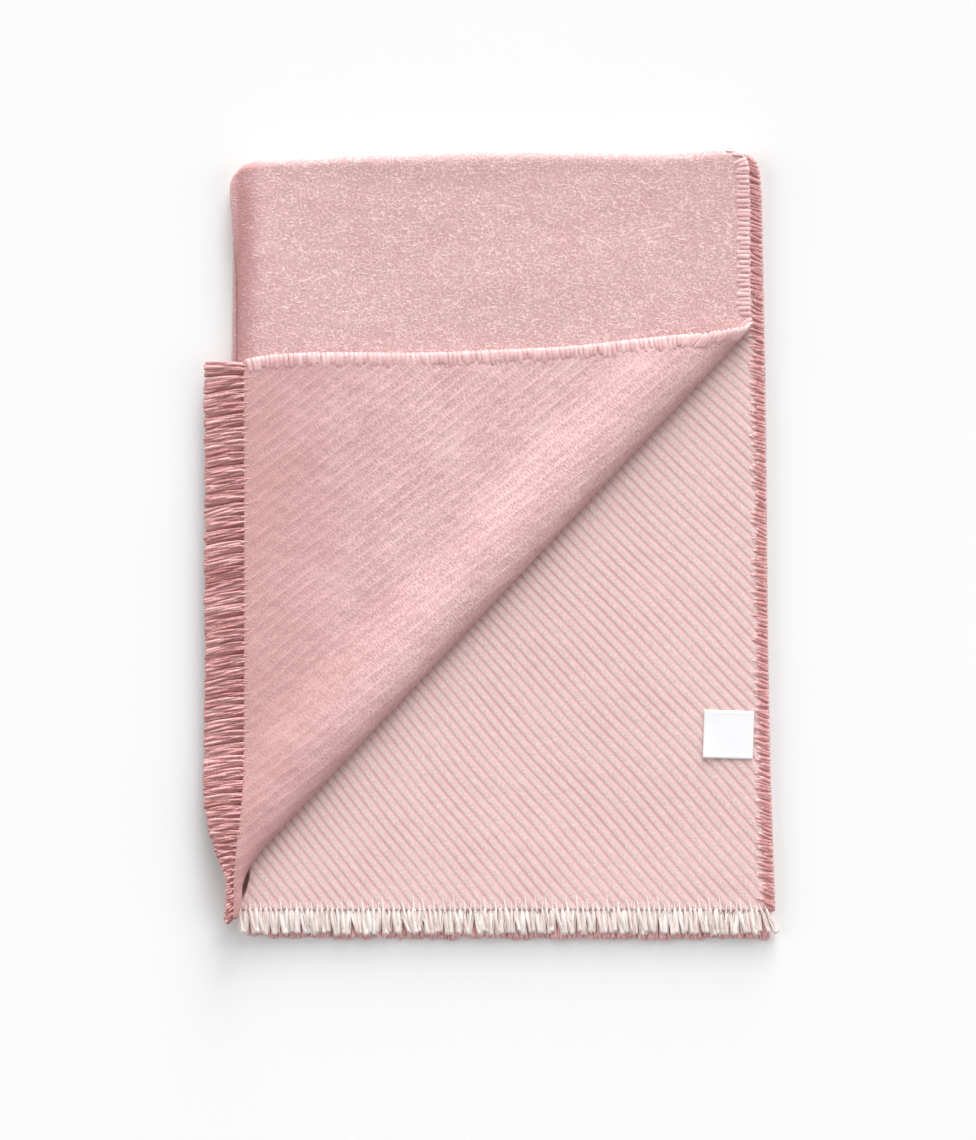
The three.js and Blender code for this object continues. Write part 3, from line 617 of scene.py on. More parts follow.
def block_steps(face, column, row, block):
    """Lattice steps across and down a block, halved until they are fine enough."""
    shows = seen(face, column, row, block[BLOCK // 2, BLOCK // 2])
    spacing = SEEN_SPACING[face] if shows else HIDDEN_SPACING
    on_side_fold = 1 < column < 2
    turns = (on_side_fold, not on_side_fold and (1 < row < 2 or -1 < row < 0))
    steps = []
    for axis in (0, 1):
        length = np.linalg.norm(np.diff(block, axis=axis), axis=-1).mean()
        step = BLOCK
        while step > 1 and step * length > spacing * SPACING_SLACK:
            step //= 2
        if turns[axis]:
            step = 1 if shows else 2
        steps.append(step)
    return steps


def tile(face, middle):
    """Rectangles of the lattice, finer where the cloth is seen: first and last column and row."""
    rectangles = []
    for across in range(0, len(COLUMNS) - 1, BLOCK):
        for down in range(0, len(ROWS) - 1, BLOCK):
            if not CELLS[across, down]:
                continue
            block = middle[across : across + BLOCK + 1, down : down + BLOCK + 1]
            column, row = COLUMNS[across + BLOCK // 2], ROWS[down + BLOCK // 2]
            wide, long = block_steps(face, column, row, block)
            for i in range(across, across + BLOCK, wide):
                rectangles += [(i, i + wide, j, j + long) for j in range(down, down + BLOCK, long)]
    return rectangles


def corner_loops(rectangles, used):
    """The lattice nodes around each rectangle, with those that its finer neighbours use."""
    loops = []
    for left, right, low, high in rectangles:
        ring = [(i, low) for i in range(left, right)]
        ring += [(right, j) for j in range(low, high)]
        ring += [(i, high) for i in range(right, left, -1)]
        ring += [(left, j) for j in range(high, low, -1)]
        loops.append([node for node in ring if used[node]])
    return loops


def new_mesh(name, points, faces, material_index=None):
    """A smooth mesh object from plan millimetres."""
    placed = (np.asarray(points, float) - np.array([*MIDDLE, 0])) * MM
    mesh = bpy.data.meshes.new(name)
    counts = np.array([len(face) for face in faces], np.int32)
    corners = np.concatenate([np.asarray(face, np.int32) for face in faces])
    mesh.vertices.add(len(placed))
    mesh.vertices.foreach_set("co", placed.astype(np.float32).ravel())
    mesh.loops.add(len(corners))
    mesh.loops.foreach_set("vertex_index", corners)
    mesh.polygons.add(len(counts))
    mesh.polygons.foreach_set("loop_start", (np.cumsum(counts) - counts).astype(np.int32))
    mesh.update(calc_edges=True)
    mesh.polygons.foreach_set("use_smooth", np.ones(len(counts), bool))
    if material_index is not None:
        mesh.polygons.foreach_set("material_index", np.asarray(material_index, np.int32))
    mesh.validate()
    piece = bpy.data.objects.new(name, mesh)
    bpy.context.scene.collection.objects.link(piece)
    return piece


def set_attribute(piece, name, values):
    layer = piece.data.attributes.new(name, "FLOAT_VECTOR", "POINT")
    layer.data.foreach_set("vector", np.asarray(values, np.float32).ravel())


def nodes_on_rim():
    """Lattice nodes on the cut edge of the cloth: those with fewer than four cells around them."""
    around = np.zeros((len(COLUMNS), len(ROWS)), int)
    for i in (0, 1):
        for j in (0, 1):
            around[i : CELLS.shape[0] + i, j : CELLS.shape[1] + j] += CELLS
    return (around > 0) & (around < 4)


def is_outside_edge(first, second):
    """Whether only one cell of the lattice lies beside this edge."""
    (i0, j0), (i1, j1) = sorted((first, second))
    if i0 != i1 and j0 != j1:
        return False
    other = (i0 - 1, j0) if i0 == i1 else (i0, j0 - 1)
    cells = [
        0 <= i < CELLS.shape[0] and 0 <= j < CELLS.shape[1] and CELLS[i, j] for i, j in (other, (i0, j0))
    ]
    return sum(cells) == 1


def inward_node(node):
    """A lattice node a little further into the cloth from a rim node."""
    i, j = node
    last_i, last_j = CELLS.shape
    step = 2
    if i in (0, last_i):
        return (step if i == 0 else last_i - step), j
    if j in (0, last_j):
        return i, (step if j == 0 else last_j - step)
    if j <= FRONT_ROW and i >= OUTER_STEPS:
        return (i - step, j) if i == OUTER_STEPS and j < FRONT_ROW else (i, FRONT_ROW + step)
    return node


def face_points(face, column, row, place):
    """Points of one face of the cloth, and for each its place in the weave: lines across, distance
    down them and distance from the stitched edge."""
    lines, down = woven_lines(column, row, place)
    proud = CLOTH_THICKNESS / 2 + relief(face, column, row, place, lines)
    edge = np.where(column <= 1, column * (ROLL_STARTS - ROLL_END), (3 - column) * INNER_WIDTH)
    return cloth_place(column, row, face * proud), np.stack([lines, down, edge], axis=-1)


def build_cloth():
    """The whole cloth as one closed sheet, with its own division on each face."""
    middle = cloth_place(*np.meshgrid(COLUMNS, ROWS, indexing="ij"), 0.0)
    on_rim = nodes_on_rim()
    used, tiles = {}, {}
    for face in (OUTSIDE, INSIDE):
        tiles[face] = tile(face, middle)
        used[face] = np.zeros(on_rim.shape, bool)
        for left, right, low, high in tiles[face]:
            used[face][[left, left, right, right], [low, high, low, high]] = True
    rim_used = on_rim & (used[OUTSIDE] | used[INSIDE])

    points, threads, faces, materials, rim_edges = [], [], [], [], []
    numbers = {}
    start = 0
    for face in (OUTSIDE, INSIDE):
        marks = used[face] | rim_used
        i, j = np.nonzero(marks)
        made = face_points(face, COLUMNS[i], ROWS[j], middle[i, j])
        points.append(made[0])
        threads.append(made[1])
        number = np.full(marks.shape, -1)
        number[i, j] = np.arange(len(i)) + start
        start += len(i)
        # The left edge of the turned-back corner narrows to one point at the tongue
        tongue = number[OUTER_STEPS, FLAP_STEPS]
        number[OUTER_STEPS, :FLAP_STEPS] = np.where(marks[OUTER_STEPS, :FLAP_STEPS], tongue, -1)
        numbers[face] = number
        for (left, _, low, _), loop in zip(tiles[face], corner_loops(tiles[face], marks)):
            ids = [number[node] for node in loop]
            ids = [n for n, following in zip(ids, ids[1:] + ids[:1]) if n != following]
            if len(ids) < 3:
                continue
            faces.append(ids[::-face])
            on_second = left >= OUTER_STEPS and low < FRONT_ROW + LAYER_STEPS
            inside_look = RIBBED if on_second else TWILL
            materials.append(BRUSHED if face == OUTSIDE else inside_look)
            if face == OUTSIDE:
                for edge in zip(loop, loop[1:] + loop[:1]):
                    if on_rim[edge[0]] and on_rim[edge[1]] and is_outside_edge(*edge):
                        rim_edges.append(edge)

    rim_number, rim_points = {}, []
    for node in sorted({node for edge in rim_edges for node in edge}):
        if node[0] == OUTER_STEPS and node[1] < FLAP_STEPS:
            continue
        outwards = unit(middle[node] - middle[inward_node(node)])
        rim_number[node] = start + len(rim_points)
        rim_points.append(middle[node] + outwards * RIM_SWELL)
    points.append(np.array(rim_points))
    threads.append(np.zeros((len(rim_points), 3)))
    for first, second in rim_edges:
        if first not in rim_number or second not in rim_number:
            continue
        for face, number in numbers.items():
            quad = [number[first], number[second], rim_number[second], rim_number[first]]
            faces.append(quad[::face])
            materials.append(CUT_EDGE)
    piece = new_mesh("throw_cloth", np.concatenate(points), faces, materials)
    set_attribute(piece, "thread", np.concatenate(threads))
    return piece


def tubes(paths, radii, sides, up, flat):
    """Closed tubes along paths (tube, station, xyz), as points and faces. The up direction keeps
    the rings from turning, and flat squashes them along it."""
    count, stations = paths.shape[:2]
    ahead = unit(np.gradient(paths, axis=1))
    aside = unit(np.cross(ahead, np.broadcast_to(up, paths.shape)))
    over = np.cross(aside, ahead)
    angles = 2 * np.pi * np.arange(sides)[:, None] / sides
    ring = aside[:, :, None] * np.cos(angles) + over[:, :, None] * np.sin(angles) * flat
    radii = np.broadcast_to(radii, (count, stations))[..., None, None]
    points = (paths[:, :, None] + ring * radii).reshape(-1, 3)
    points[:, 2] = np.maximum(points[:, 2], LOWEST_POINT)
    number = np.arange(len(points)).reshape(count, stations, sides)
    following = np.roll(number, -1, axis=2)
    quads = np.stack([number[:, :-1], following[:, :-1], following[:, 1:], number[:, 1:]], axis=-1)
    return points, [*quads.reshape(-1, 4), *number[:, 0, ::-1], *number[:, -1]]


def tube_piece(name, parts, kinds=0.0):
    """One object from sets of tubes: (paths, radii, sides, up, flat, shares, tints). Each point
    keeps its share of its tube's length, its tint and its kind."""
    points, faces, marks = [], [], []
    start = 0
    for paths, radii, sides, up, flat, shares, tints in parts:
        made_points, made_faces = tubes(paths, radii, sides, up, flat)
        points.append(made_points)
        faces += [face + start for face in made_faces]
        start += len(made_points)
        rows = [shares, np.reshape(tints, (-1, 1)), np.reshape(kinds, (-1, 1))]
        kept = np.stack([np.broadcast_to(row, paths.shape[:2]) for row in rows], axis=-1)
        marks.append(np.repeat(kept.reshape(-1, 3), sides, axis=0))
    piece = new_mesh(name, np.concatenate(points), faces)
    set_attribute(piece, "yarn", np.concatenate(marks))
    return piece


def straight_in(edge, slope, outside, inwards, row):
    """Stitches of the outer edge run straight in from it in plan: their direction, and then for
    the turned-back corner and the top layer which stitches lie there and their columns and rows."""
    across = unit(np.stack([slope[..., 1], -slope[..., 0], np.zeros(inwards.shape)], -1))
    across = across * np.sign((across * outside).sum(-1, keepdims=True))
    target = edge - across * inwards[..., None]
    flap_place = find_on_flap(target[..., 0], target[..., 1])
    top_place = find_on_top(target[..., 0], target[..., 1])
    on_flap = (row < -1) & (flap_place[1].max(axis=1) < -1.002)
    on_top = (row > 0) & (row < 1)
    return across, [(on_flap[:, None], flap_place), (on_top[:, None], top_place)]


def stitches(name, sizes, series):
    """Whip stitches around a long edge of the cloth. They start on the seen face, further in,
    go round the edge and end under it."""
    first_column, per_column, shares = sizes["column"], sizes["per_column"], STITCH_SHARES
    outer_edge = first_column == 0
    fine_rows = np.linspace(*sizes["rows"], 5000)
    line = cloth_place(first_column, fine_rows, 0.0)
    lengths = running_length(line)
    count = int(lengths[-1] / sizes["pitch"])
    index = np.arange(count)
    place = (index + 0.5 + sizes["shift"] * uneven(index, series + 4)) * lengths[-1] / count
    slant = sizes["slant"] + sizes["slant_varies"] * uneven(index, series + 1)
    arc = place[:, None] + slant[:, None] * np.clip(1 - shares, -0.6, 1)
    rows = np.interp(arc, lengths, fine_rows)
    row = np.interp(place, lengths, fine_rows)
    length = sizes["length"] * (1 + sizes["length_varies"] * uneven(index, series))
    inwards = np.where(shares <= 1, 1 - shares, (shares - 1) * 0.8) * length[:, None]
    column = first_column + inwards / per_column
    edge = cloth_place(first_column, rows, 0.0)
    outside = edge - cloth_place(first_column + 4 / per_column, rows, 0.0)
    on_top_of_flap = outer_edge & (row < -0.5)
    shows_outside = ~on_top_of_flap if outer_edge else row > 1.5
    face = np.where(shows_outside, 1.0, -1.0)
    if outer_edge:
        ahead = np.gradient(line, axis=0)
        slope = np.stack([np.interp(arc, lengths, ahead[:, axis]) for axis in (0, 1)], -1)
        across, found = straight_in(edge, slope, outside, inwards, row)
        for holds, (found_column, found_row) in found:
            outside = np.where(holds[..., None], across, outside)
            column, rows = np.where(holds, found_column, column), np.where(holds, found_row, rows)
    outside = unit(outside)
    strength = np.where(on_top_of_flap, 0.5, 0.8 + 0.4 * uneven(index, series + 6)) * sizes["rise"]
    around = CLOTH_THICKNESS / 2 * np.cos(np.pi * np.clip((shares - 0.85) / 0.3, 0, 1))
    heights = face[:, None] * (around + STITCH_HEIGHTS * strength[:, None])
    beyond = sizes["beyond"] * np.exp(-(((shares - 1) / 0.12) ** 2))[:, None]
    paths = cloth_place(column, rows, heights) + outside * beyond
    up = cloth_place(column, rows, heights + 1) - cloth_place(column, rows, heights - 1)
    up = unit(up * face[:, None, None] + outside * (3.0 * beyond))
    width = sizes["width"] * (1 + sizes["width_varies"] * uneven(index, series + 2))
    radii = width[:, None] / 2 * STITCH_PROFILE
    flat = sizes["height"] / sizes["width"]
    keep_above_floor(paths, radii * flat)
    tint = uneven(index, series + 3) * 0.5 + 0.5
    return tube_piece(
        name, [(paths, radii, 8, up, flat, shares, tint)], np.where(on_top_of_flap, 0.0, 1.0)
    )


def strands(edge, sizes, series):
    """Middle lines of a fringe's strands as in the solids: (strand, station, xyz), the way across
    each and its share of the full length. The first stations lie in the cloth's edge."""
    lengths = running_length(edge)
    from_start, from_end = sizes["trims"]
    index = np.arange(sizes["count"])
    share = (index + 0.5) / sizes["count"]

    def at(place):
        distance = mix(from_start, lengths[-1] - from_end, place)
        return np.stack([np.interp(distance, lengths, values) for values in edge.T], -1)

    root = at(share)
    run = at(np.minimum(share + OUTWARD_SPAN, 1)) - at(np.maximum(share - OUTWARD_SPAN, 0))
    size = np.hypot(run[:, 0], run[:, 1])
    out_x, out_y = run[:, 1] / size, -run[:, 0] / size
    on_flap = sizes is FLAP_FRINGE
    length_share = along(FLAP_FRINGE_SHARE, root[:, 1]) if on_flap else np.ones(len(index))
    turn = np.zeros(len(index))
    for radians, axis, start, distance in sizes["fans"]:
        turn = turn + radians * ease((root[:, axis] - start) / distance)
    out_x, out_y = (
        out_x * np.cos(turn) - out_y * np.sin(turn), out_x * np.sin(turn) + out_y * np.cos(turn),
    )
    length = (sizes["length"] + sizes["uneven"] * uneven(index, series)) * length_share
    partner = np.where(index % 2 == 0, sizes["pair"], -sizes["pair"])
    lean = (partner + sizes["sway"] * uneven(index // 2, series + 1)) * length_share
    droop = sizes["droop"] * length_share**2
    start = GAP + BACKING_WIDTH - ROOT_DEPTH
    reach = np.where(
        STATIONS < 0,
        start * (1 + STATIONS / ROOT_SHARE) - ROOT_DEPTH,
        start - ROOT_DEPTH + (length[:, None] + 2 * ROOT_DEPTH) * FORWARD,
    )
    aside = lean[:, None] * FORWARD**2
    fall = np.minimum(FORWARD * 4, 1) if sizes["flat"] else FORWARD**2
    path = np.stack([
        root[:, :1] + out_x[:, None] * reach - out_y[:, None] * aside,
        root[:, 1:2] + out_y[:, None] * reach + out_x[:, None] * aside,
        root[:, 2:] - droop[:, None] * fall,
    ], -1)
    return path, np.stack([-out_y, out_x, np.zeros(len(index))], -1)[:, None], length_share


def wound(wave, turns, start):
    """How plies wind around each other: a wave of the stations with an own start for each strand."""
    return wave(2 * np.pi * (STATIONS * turns + start[:, None]))


def plies(path, across, length_share, sizes, series):
    """The plies of all strands: paths, radii and tints."""
    index = np.arange(len(path))
    full = np.interp(STATIONS, *np.array(sizes["radius"]).T) * CLOSING
    stout = (0.8 + 0.2 * length_share) * (1 + sizes["stout_varies"] * uneven(index, series + 13))
    apart = np.interp(STATIONS, *np.array(sizes["part_at"]).T) * sizes["part"]
    ahead = unit(path[:, -1] - path[:, -5])
    at_tip = np.clip((STATIONS - 0.6) / 0.4, 0, 1)
    paths, radii, tints = [], [], []
    for ply in range(sizes["plies"]):
        own = index * sizes["plies"] + ply
        side = (ply - (sizes["plies"] - 1) / 2) * apart
        twist = sizes["twist"] * wound(np.sin, sizes["turns"], uneven(index, series + 9 + ply))
        over = sizes["part"] * 0.5 * wound(np.cos, sizes["turns"], uneven(index, series + 15 + ply))
        longer = sizes["ends_vary"] * uneven(own, series + 5) * length_share
        ply_path = path + across * ((side + twist) * stout[:, None])[..., None]
        ply_path[..., 2] += over
        ply_path += ahead[:, None] * (longer[:, None] * at_tip)[..., None]
        paths.append(ply_path)
        radii.append(full * stout[:, None])
        tints.append(0.5 + 0.5 * uneven(own, series + 7))
    return np.concatenate(paths), np.concatenate(radii), np.concatenate(tints), stout


def fringe(name, edge, sizes, series):
    """A fringe of yarns: each strand is one or more plies that part and meet again, and strands
    lean together in pairs."""
    path, across, length_share = strands(edge, sizes, series)
    index = np.arange(len(path))
    gather = mix(sizes["gather_root"], sizes["gather_tip"], ease(FORWARD))
    wander = uneven(index // 2, series + 21) + 0.5 * uneven(index, series + 22)
    wander = (sizes["wander"] * wander + sizes["lean"]) * length_share
    shift = np.where(index % 2 == 0, 1, -1)[:, None] * gather * length_share[:, None]
    shift = shift + wander[:, None] * FORWARD**1.3
    path = path + across * shift[..., None]
    path[..., 2] += sizes["arch"] * np.sin(np.pi * FORWARD) * length_share[:, None]
    paths, radii, tints, stout = plies(path, across, length_share, sizes, series)
    keep_above_floor(paths, radii)
    parts = [(paths, radii, sizes["sides"], UPWARDS, 1.0, FORWARD, tints)]
    if sizes["pointed"]:
        roots, root_radii = pointed_roots(path, across, length_share, sizes["pointed"], series)
        parts.append((roots, root_radii, 6, UPWARDS, 0.7, 0.0, np.full(len(path), ROOT_TINT)))
    # A yarn beneath each strand, its darker tint a painted shade
    if sizes["under"]:
        beside, below, stout_there = sizes["under"]
        under = path + across * beside
        under[..., 2] -= below
        under_radii = stout_there * CLOSING * stout[:, None]
        keep_above_floor(under, under_radii)
        parts.append((under, under_radii, 6, UPWARDS, 1.0, FORWARD, np.full(len(path), UNDER_PAINTED_SHADE_TINT)))
    for fibre in range(sizes["fibres"]):
        loose = fibres(path, across, length_share, series + 40 + fibre)
        parts.append((loose, FIBRE_RADIUS, 4, UPWARDS, 1.0, STATIONS, np.full(len(path), FIBRE_TINT)))
    return tube_piece(name, parts)


def fibres(path, across, length_share, series):
    """Thin loose fibres that stray between the strands."""
    index = np.arange(len(path))
    start = 2.6 * uneven(index, series)
    end = start + 3.5 * uneven(index, series + 50)
    bend = 1.6 * uneven(index, series + 60)
    stray = mix(start[:, None], end[:, None], FORWARD) + bend[:, None] * np.sin(np.pi * FORWARD * 1.7)
    loose = path + across * (stray * length_share[:, None])[..., None]
    loose[..., 2] += 0.5 + 0.7 * uneven(index, series + 70)[:, None] * np.sin(np.pi * FORWARD)
    keep_above_floor(loose, FIBRE_RADIUS)
    return loose


def pointed_roots(path, across, length_share, sizes, series):
    """Yarn ends that lie on the cloth in line with the strands and run out to a point."""
    long_one, short_one, stout_one, slim_one = sizes
    index = np.arange(len(path))
    even = index % 2 == 0
    shares = np.linspace(0, 1, 10)
    length = np.where(even, long_one, short_one) * (1 + 0.3 * uneven(index, series + 11))
    length = length * length_share
    root = path[:, 0]
    out = path[:, 12] - path[:, 3]
    out[:, 2] = 0
    reach = mix(-length[:, None], ROOTS_REACH_OUT, shares)
    lean = 0.9 * uneven(index, series + 12)[:, None] * (1 - shares) ** 2
    paths = root[:, None] + unit(out)[:, None] * reach[..., None] + across * lean[..., None]
    down = np.clip(shares * 1.5 - 0.5, 0, 1) ** 2
    paths[..., 2] = root[:, 2:] + mix(CLOTH_THICKNESS / 2 - 0.1, 0.6, down)
    return paths, np.where(even, stout_one, slim_one)[:, None] * mix(0.12, 1.0, shares**0.8)


def build_label():
    """The small square label: a thin woven tape, one corner lifted a little, its edges turned in."""
    width, length, turn = LABEL["width"], LABEL["length"], LABEL["turn"]
    spans = (np.arange(LABEL_STEPS + 1) / LABEL_STEPS - 0.5) * np.array([[width], [length]])
    right, back = np.meshgrid(*spans, indexing="ij")
    x = LABEL["x"] + right * math.cos(turn) - back * math.sin(turn)
    y = LABEL["y"] + right * math.sin(turn) + back * math.cos(turn)
    left_share = np.clip(0.5 - right / width, 0, 1)
    front_share = np.clip(0.5 - back / length, 0, 1)
    lift = 0.5 * left_share**2 + 1.4 * left_share**3 * front_share**3
    wave = 0.12 * np.sin(right / 9 + 1) * np.cos(back / 13)
    low = layer_height(SECOND, x, y) + CLOTH_THICKNESS / 2 + GAP + LABEL["above_ribs"] + lift + wave
    from_side = np.minimum(width / 2 - np.abs(right), length / 2 - np.abs(back))
    hem = LABEL["hem_rise"] / (1 + np.exp((from_side - LABEL["hem_width"]) / 0.5))
    top = low + LABEL["thickness"] + hem - 0.45 * np.exp(-from_side / 0.5)
    points = [np.stack([x, y, z], -1).reshape(-1, 3) for z in (top, low)]
    number = np.arange(x.size).reshape(x.shape)
    top_faces = np.stack([number[:-1, :-1], number[1:, :-1], number[1:, 1:], number[:-1, 1:]], -1)
    top_faces = top_faces.reshape(-1, 4)
    ring = np.concatenate([number[:, 0], number[-1, 1:], number[-2::-1, -1], number[0, -2:0:-1]])
    after = np.roll(ring, -1)
    sides = np.stack([after, ring, ring + x.size, after + x.size], -1)
    faces = [*top_faces, *(top_faces[:, ::-1] + x.size), *sides]
    piece = new_mesh("label_tape", np.concatenate(points), faces)
    plan = np.stack([right, back, from_side], -1).reshape(-1, 3)
    set_attribute(piece, "thread", np.concatenate([plan, plan]))
    return piece


class Look:
    """A procedural fabric material, built up node by node."""

    def __init__(self, name, roughness=0.92, sheen=0.12, specular=0.18):
        self.material = bpy.data.materials.new(name)
        self.material.use_nodes = True
        self.tree = self.material.node_tree
        self.shader = next(n for n in self.tree.nodes if n.type == "BSDF_PRINCIPLED")
        finish = {
            "Roughness": roughness, "Sheen Weight": sheen, "Sheen Roughness": 0.45,
            "Specular IOR Level": specular,
        }
        for socket, value in finish.items():
            self.shader.inputs[socket].default_value = value
        self.place = self.add("TexCoord").outputs["Object"]

    def add(self, kind, *values, **settings):
        """A node with these settings, its sockets fed in order."""
        node = self.tree.nodes.new("ShaderNode" + kind)
        for key, value in settings.items():
            setattr(node, key, value)
        for value, socket in zip(values, [s for s in node.inputs if s.enabled]):
            self.feed(value, socket)
        return node

    def feed(self, value, socket):
        if isinstance(value, bpy.types.NodeSocket):
            self.tree.links.new(value, socket)
        else:
            socket.default_value = value

    def maths(self, operation, *values, kind="Math"):
        return self.add(kind, *values, operation=operation).outputs[0]

    def times(self, first, second):
        return self.maths("MULTIPLY", first, second)

    def moved(self, value, by, amount):
        """A value moved by some amount of another one."""
        return self.maths("MULTIPLY_ADD", by, amount, value)

    def total(self, *parts):
        """The sum of values, each times its share."""
        result = self.times(*parts[0])
        for value, share in parts[1:]:
            result = self.moved(result, value, share)
        return result

    def parts(self, vector):
        return self.add("SeparateXYZ", vector).outputs

    def attribute(self, name):
        return self.parts(self.add("Attribute", attribute_name=name).outputs["Vector"])

    def vector(self, x, y, z=0.0):
        return self.add("CombineXYZ", x, y, z).outputs[0]

    def noise(self, size, detail=2.0, where=None, distortion=0.0, output="Fac"):
        """Noise with features about this many millimetres across."""
        node = self.add("TexNoise", noise_dimensions="3D")
        self.feed(self.place if where is None else where, node.inputs["Vector"])
        node.inputs["Scale"].default_value = 1 / (size * MM) if where is None else 1 / size
        node.inputs["Detail"].default_value = detail
        node.inputs["Distortion"].default_value = distortion
        return node.outputs[output]

    def between(self, *steps):
        """A smooth step as a value goes from low to high: value, low, high and, unless they are 0
        and 1, the results at both."""
        return self.add("MapRange", *steps, interpolation_type="SMOOTHSTEP").outputs[0]

    def blend(self, share, *colours):
        colours = [(*c, 1.0) if isinstance(c, tuple) else c for c in colours]
        node = self.add("Mix", share, *colours, data_type="RGBA")
        return next(s for s in node.outputs if s.enabled)

    def lay(self, over, share, strength, under):
        """One colour laid over another at some strength."""
        return self.blend(self.times(share, strength), under, over)

    def finish(self, colour, height, rise):
        """The colour, and a bump of this many millimetres for a height from 0 to 1."""
        self.feed(colour, self.shader.inputs["Base Color"])
        node = self.add("Bump")
        for socket, value in (("Strength", 1.0), ("Distance", rise * MM), ("Height", height)):
            self.feed(value, node.inputs[socket])
        self.feed(node.outputs[0], self.shader.inputs["Normal"])
        return self.material


def linear(red, green, blue):
    """Linear colour from 0 to 255 display values."""
    parts = [value / 255 for value in (red, green, blue)]
    return tuple(p / 12.92 if p <= 0.04045 else ((p + 0.055) / 1.055) ** 2.4 for p in parts)


def curls(look):
    """Small felted curls of fibre: the warped edges of cells, broken in places, and stray fibres."""
    warp = look.noise(CURL_WARP_SIZE, 1.0, output="Color")
    centred = look.maths("SUBTRACT", warp, (0.5, 0.5, 0.5), kind="VectorMath")
    amount = (CURL_WARP * MM, CURL_WARP * MM, CURL_WARP * MM)
    shifted = look.maths("MULTIPLY_ADD", centred, amount, look.place, kind="VectorMath")
    cells = look.add("TexVoronoi", voronoi_dimensions="3D", feature="DISTANCE_TO_EDGE")
    look.feed(shifted, cells.inputs["Vector"])
    cells.inputs["Scale"].default_value = 1 / (CURL_SIZE * MM)
    loop = look.between(cells.outputs["Distance"], 0.02, CURL_WIDTH, 1.0, 0.0)
    from_middle = look.maths("SUBTRACT", look.noise(STRAY_SIZE, 0.6, distortion=0.5), 0.5)
    stray = look.between(look.maths("ABSOLUTE", from_middle), 0.0, STRAY_WIDTH, 0.8, 0.0)
    broken = look.between(look.noise(3.4, 1.0), 0.34, 0.56, 0.25, 1.0)
    return look.maths("MAXIMUM", look.times(loop, broken), stray)


def felt_look(name, light, dark, painted_fold_shade=None):
    """Brushed wool, felted into small curls of fibre: pale threads around darker hollows."""
    look = Look(name)
    curl, grain, patches = curls(look), look.noise(1.5), look.noise(34)
    share = look.total((grain, 0.34), (curl, 0.5), (patches, 0.24))
    colour = look.blend(look.between(share, 0.16, 0.86), dark, light)
    # Painted shade: the top layer darkens towards its left side fold, where the fold rounds away from the
    # light
    if painted_fold_shade:
        x = look.parts(look.place)[0]
        inside = look.between(look.moved(x, patches, 0.014), *LEFT_SHADE_INSIDE)
        near = look.times(inside, look.between(x, *LEFT_SHADE_OUTSIDE))
        colour = look.lay(painted_fold_shade, near, 0.8, colour)
    return look.finish(colour, look.total((curl, 0.65), (grain, 0.35)), 0.8)


def flap_look(name, light, dark, line, painted_left_shade, painted_roll_shade):
    """The turned-back corner: rose twill with fine pale dotted lines."""
    look = Look(name)
    across, down, _ = look.attribute("thread")
    to_line = look.maths("PINGPONG", look.moved(across, look.noise(5, 1.0), 0.12), 0.5)
    thin = look.between(to_line, 0.0, 0.085, 1.0, 0.0)
    dash_across = look.times(across, FLAP_LINE_PITCH / DASH_WIDTH)
    dash_place = look.vector(dash_across, look.times(down, 1 / DASH_LENGTH))
    dots = look.between(look.noise(2.4, 1.0, look.vector(0.0, down)), 0.3, 0.6, 0.3, 1.0)
    strong = look.between(look.noise(60), 0.35, 0.65, 0.3, 1.0)
    dotted = look.times(look.times(thin, strong), dots)
    patches = look.noise(45)
    speckle = look.total((look.noise(1.9), 0.3), (look.noise(1.0, 1.5, dash_place), 0.7))
    share = look.total((speckle, 0.82), (patches, 0.18))
    colour = look.blend(look.between(share, 0.37, 0.62), dark, light)
    colour = look.lay(line, dotted, 0.8, colour)
    x, y, _ = look.parts(look.place)
    # Painted shade: darker towards the left of the turned-back corner
    near = look.between(look.moved(x, patches, 0.08), *FLAP_SHADE)
    colour = look.lay(painted_left_shade, near, 0.6, colour)
    # Painted shade beside the rolled edge, where the roll turns away from the light
    from_fold = look.maths("SUBTRACT", look.moved(x, y, -ROLL_SHADE["slope"]), ROLL_SHADE["start"])
    on_roll = look.between(from_fold, -ROLL_SHADE["width"], 0.0)
    colour = look.lay(painted_roll_shade, on_roll, 0.55, colour)
    return look.finish(colour, look.moved(speckle, dotted, 0.35), 0.6)


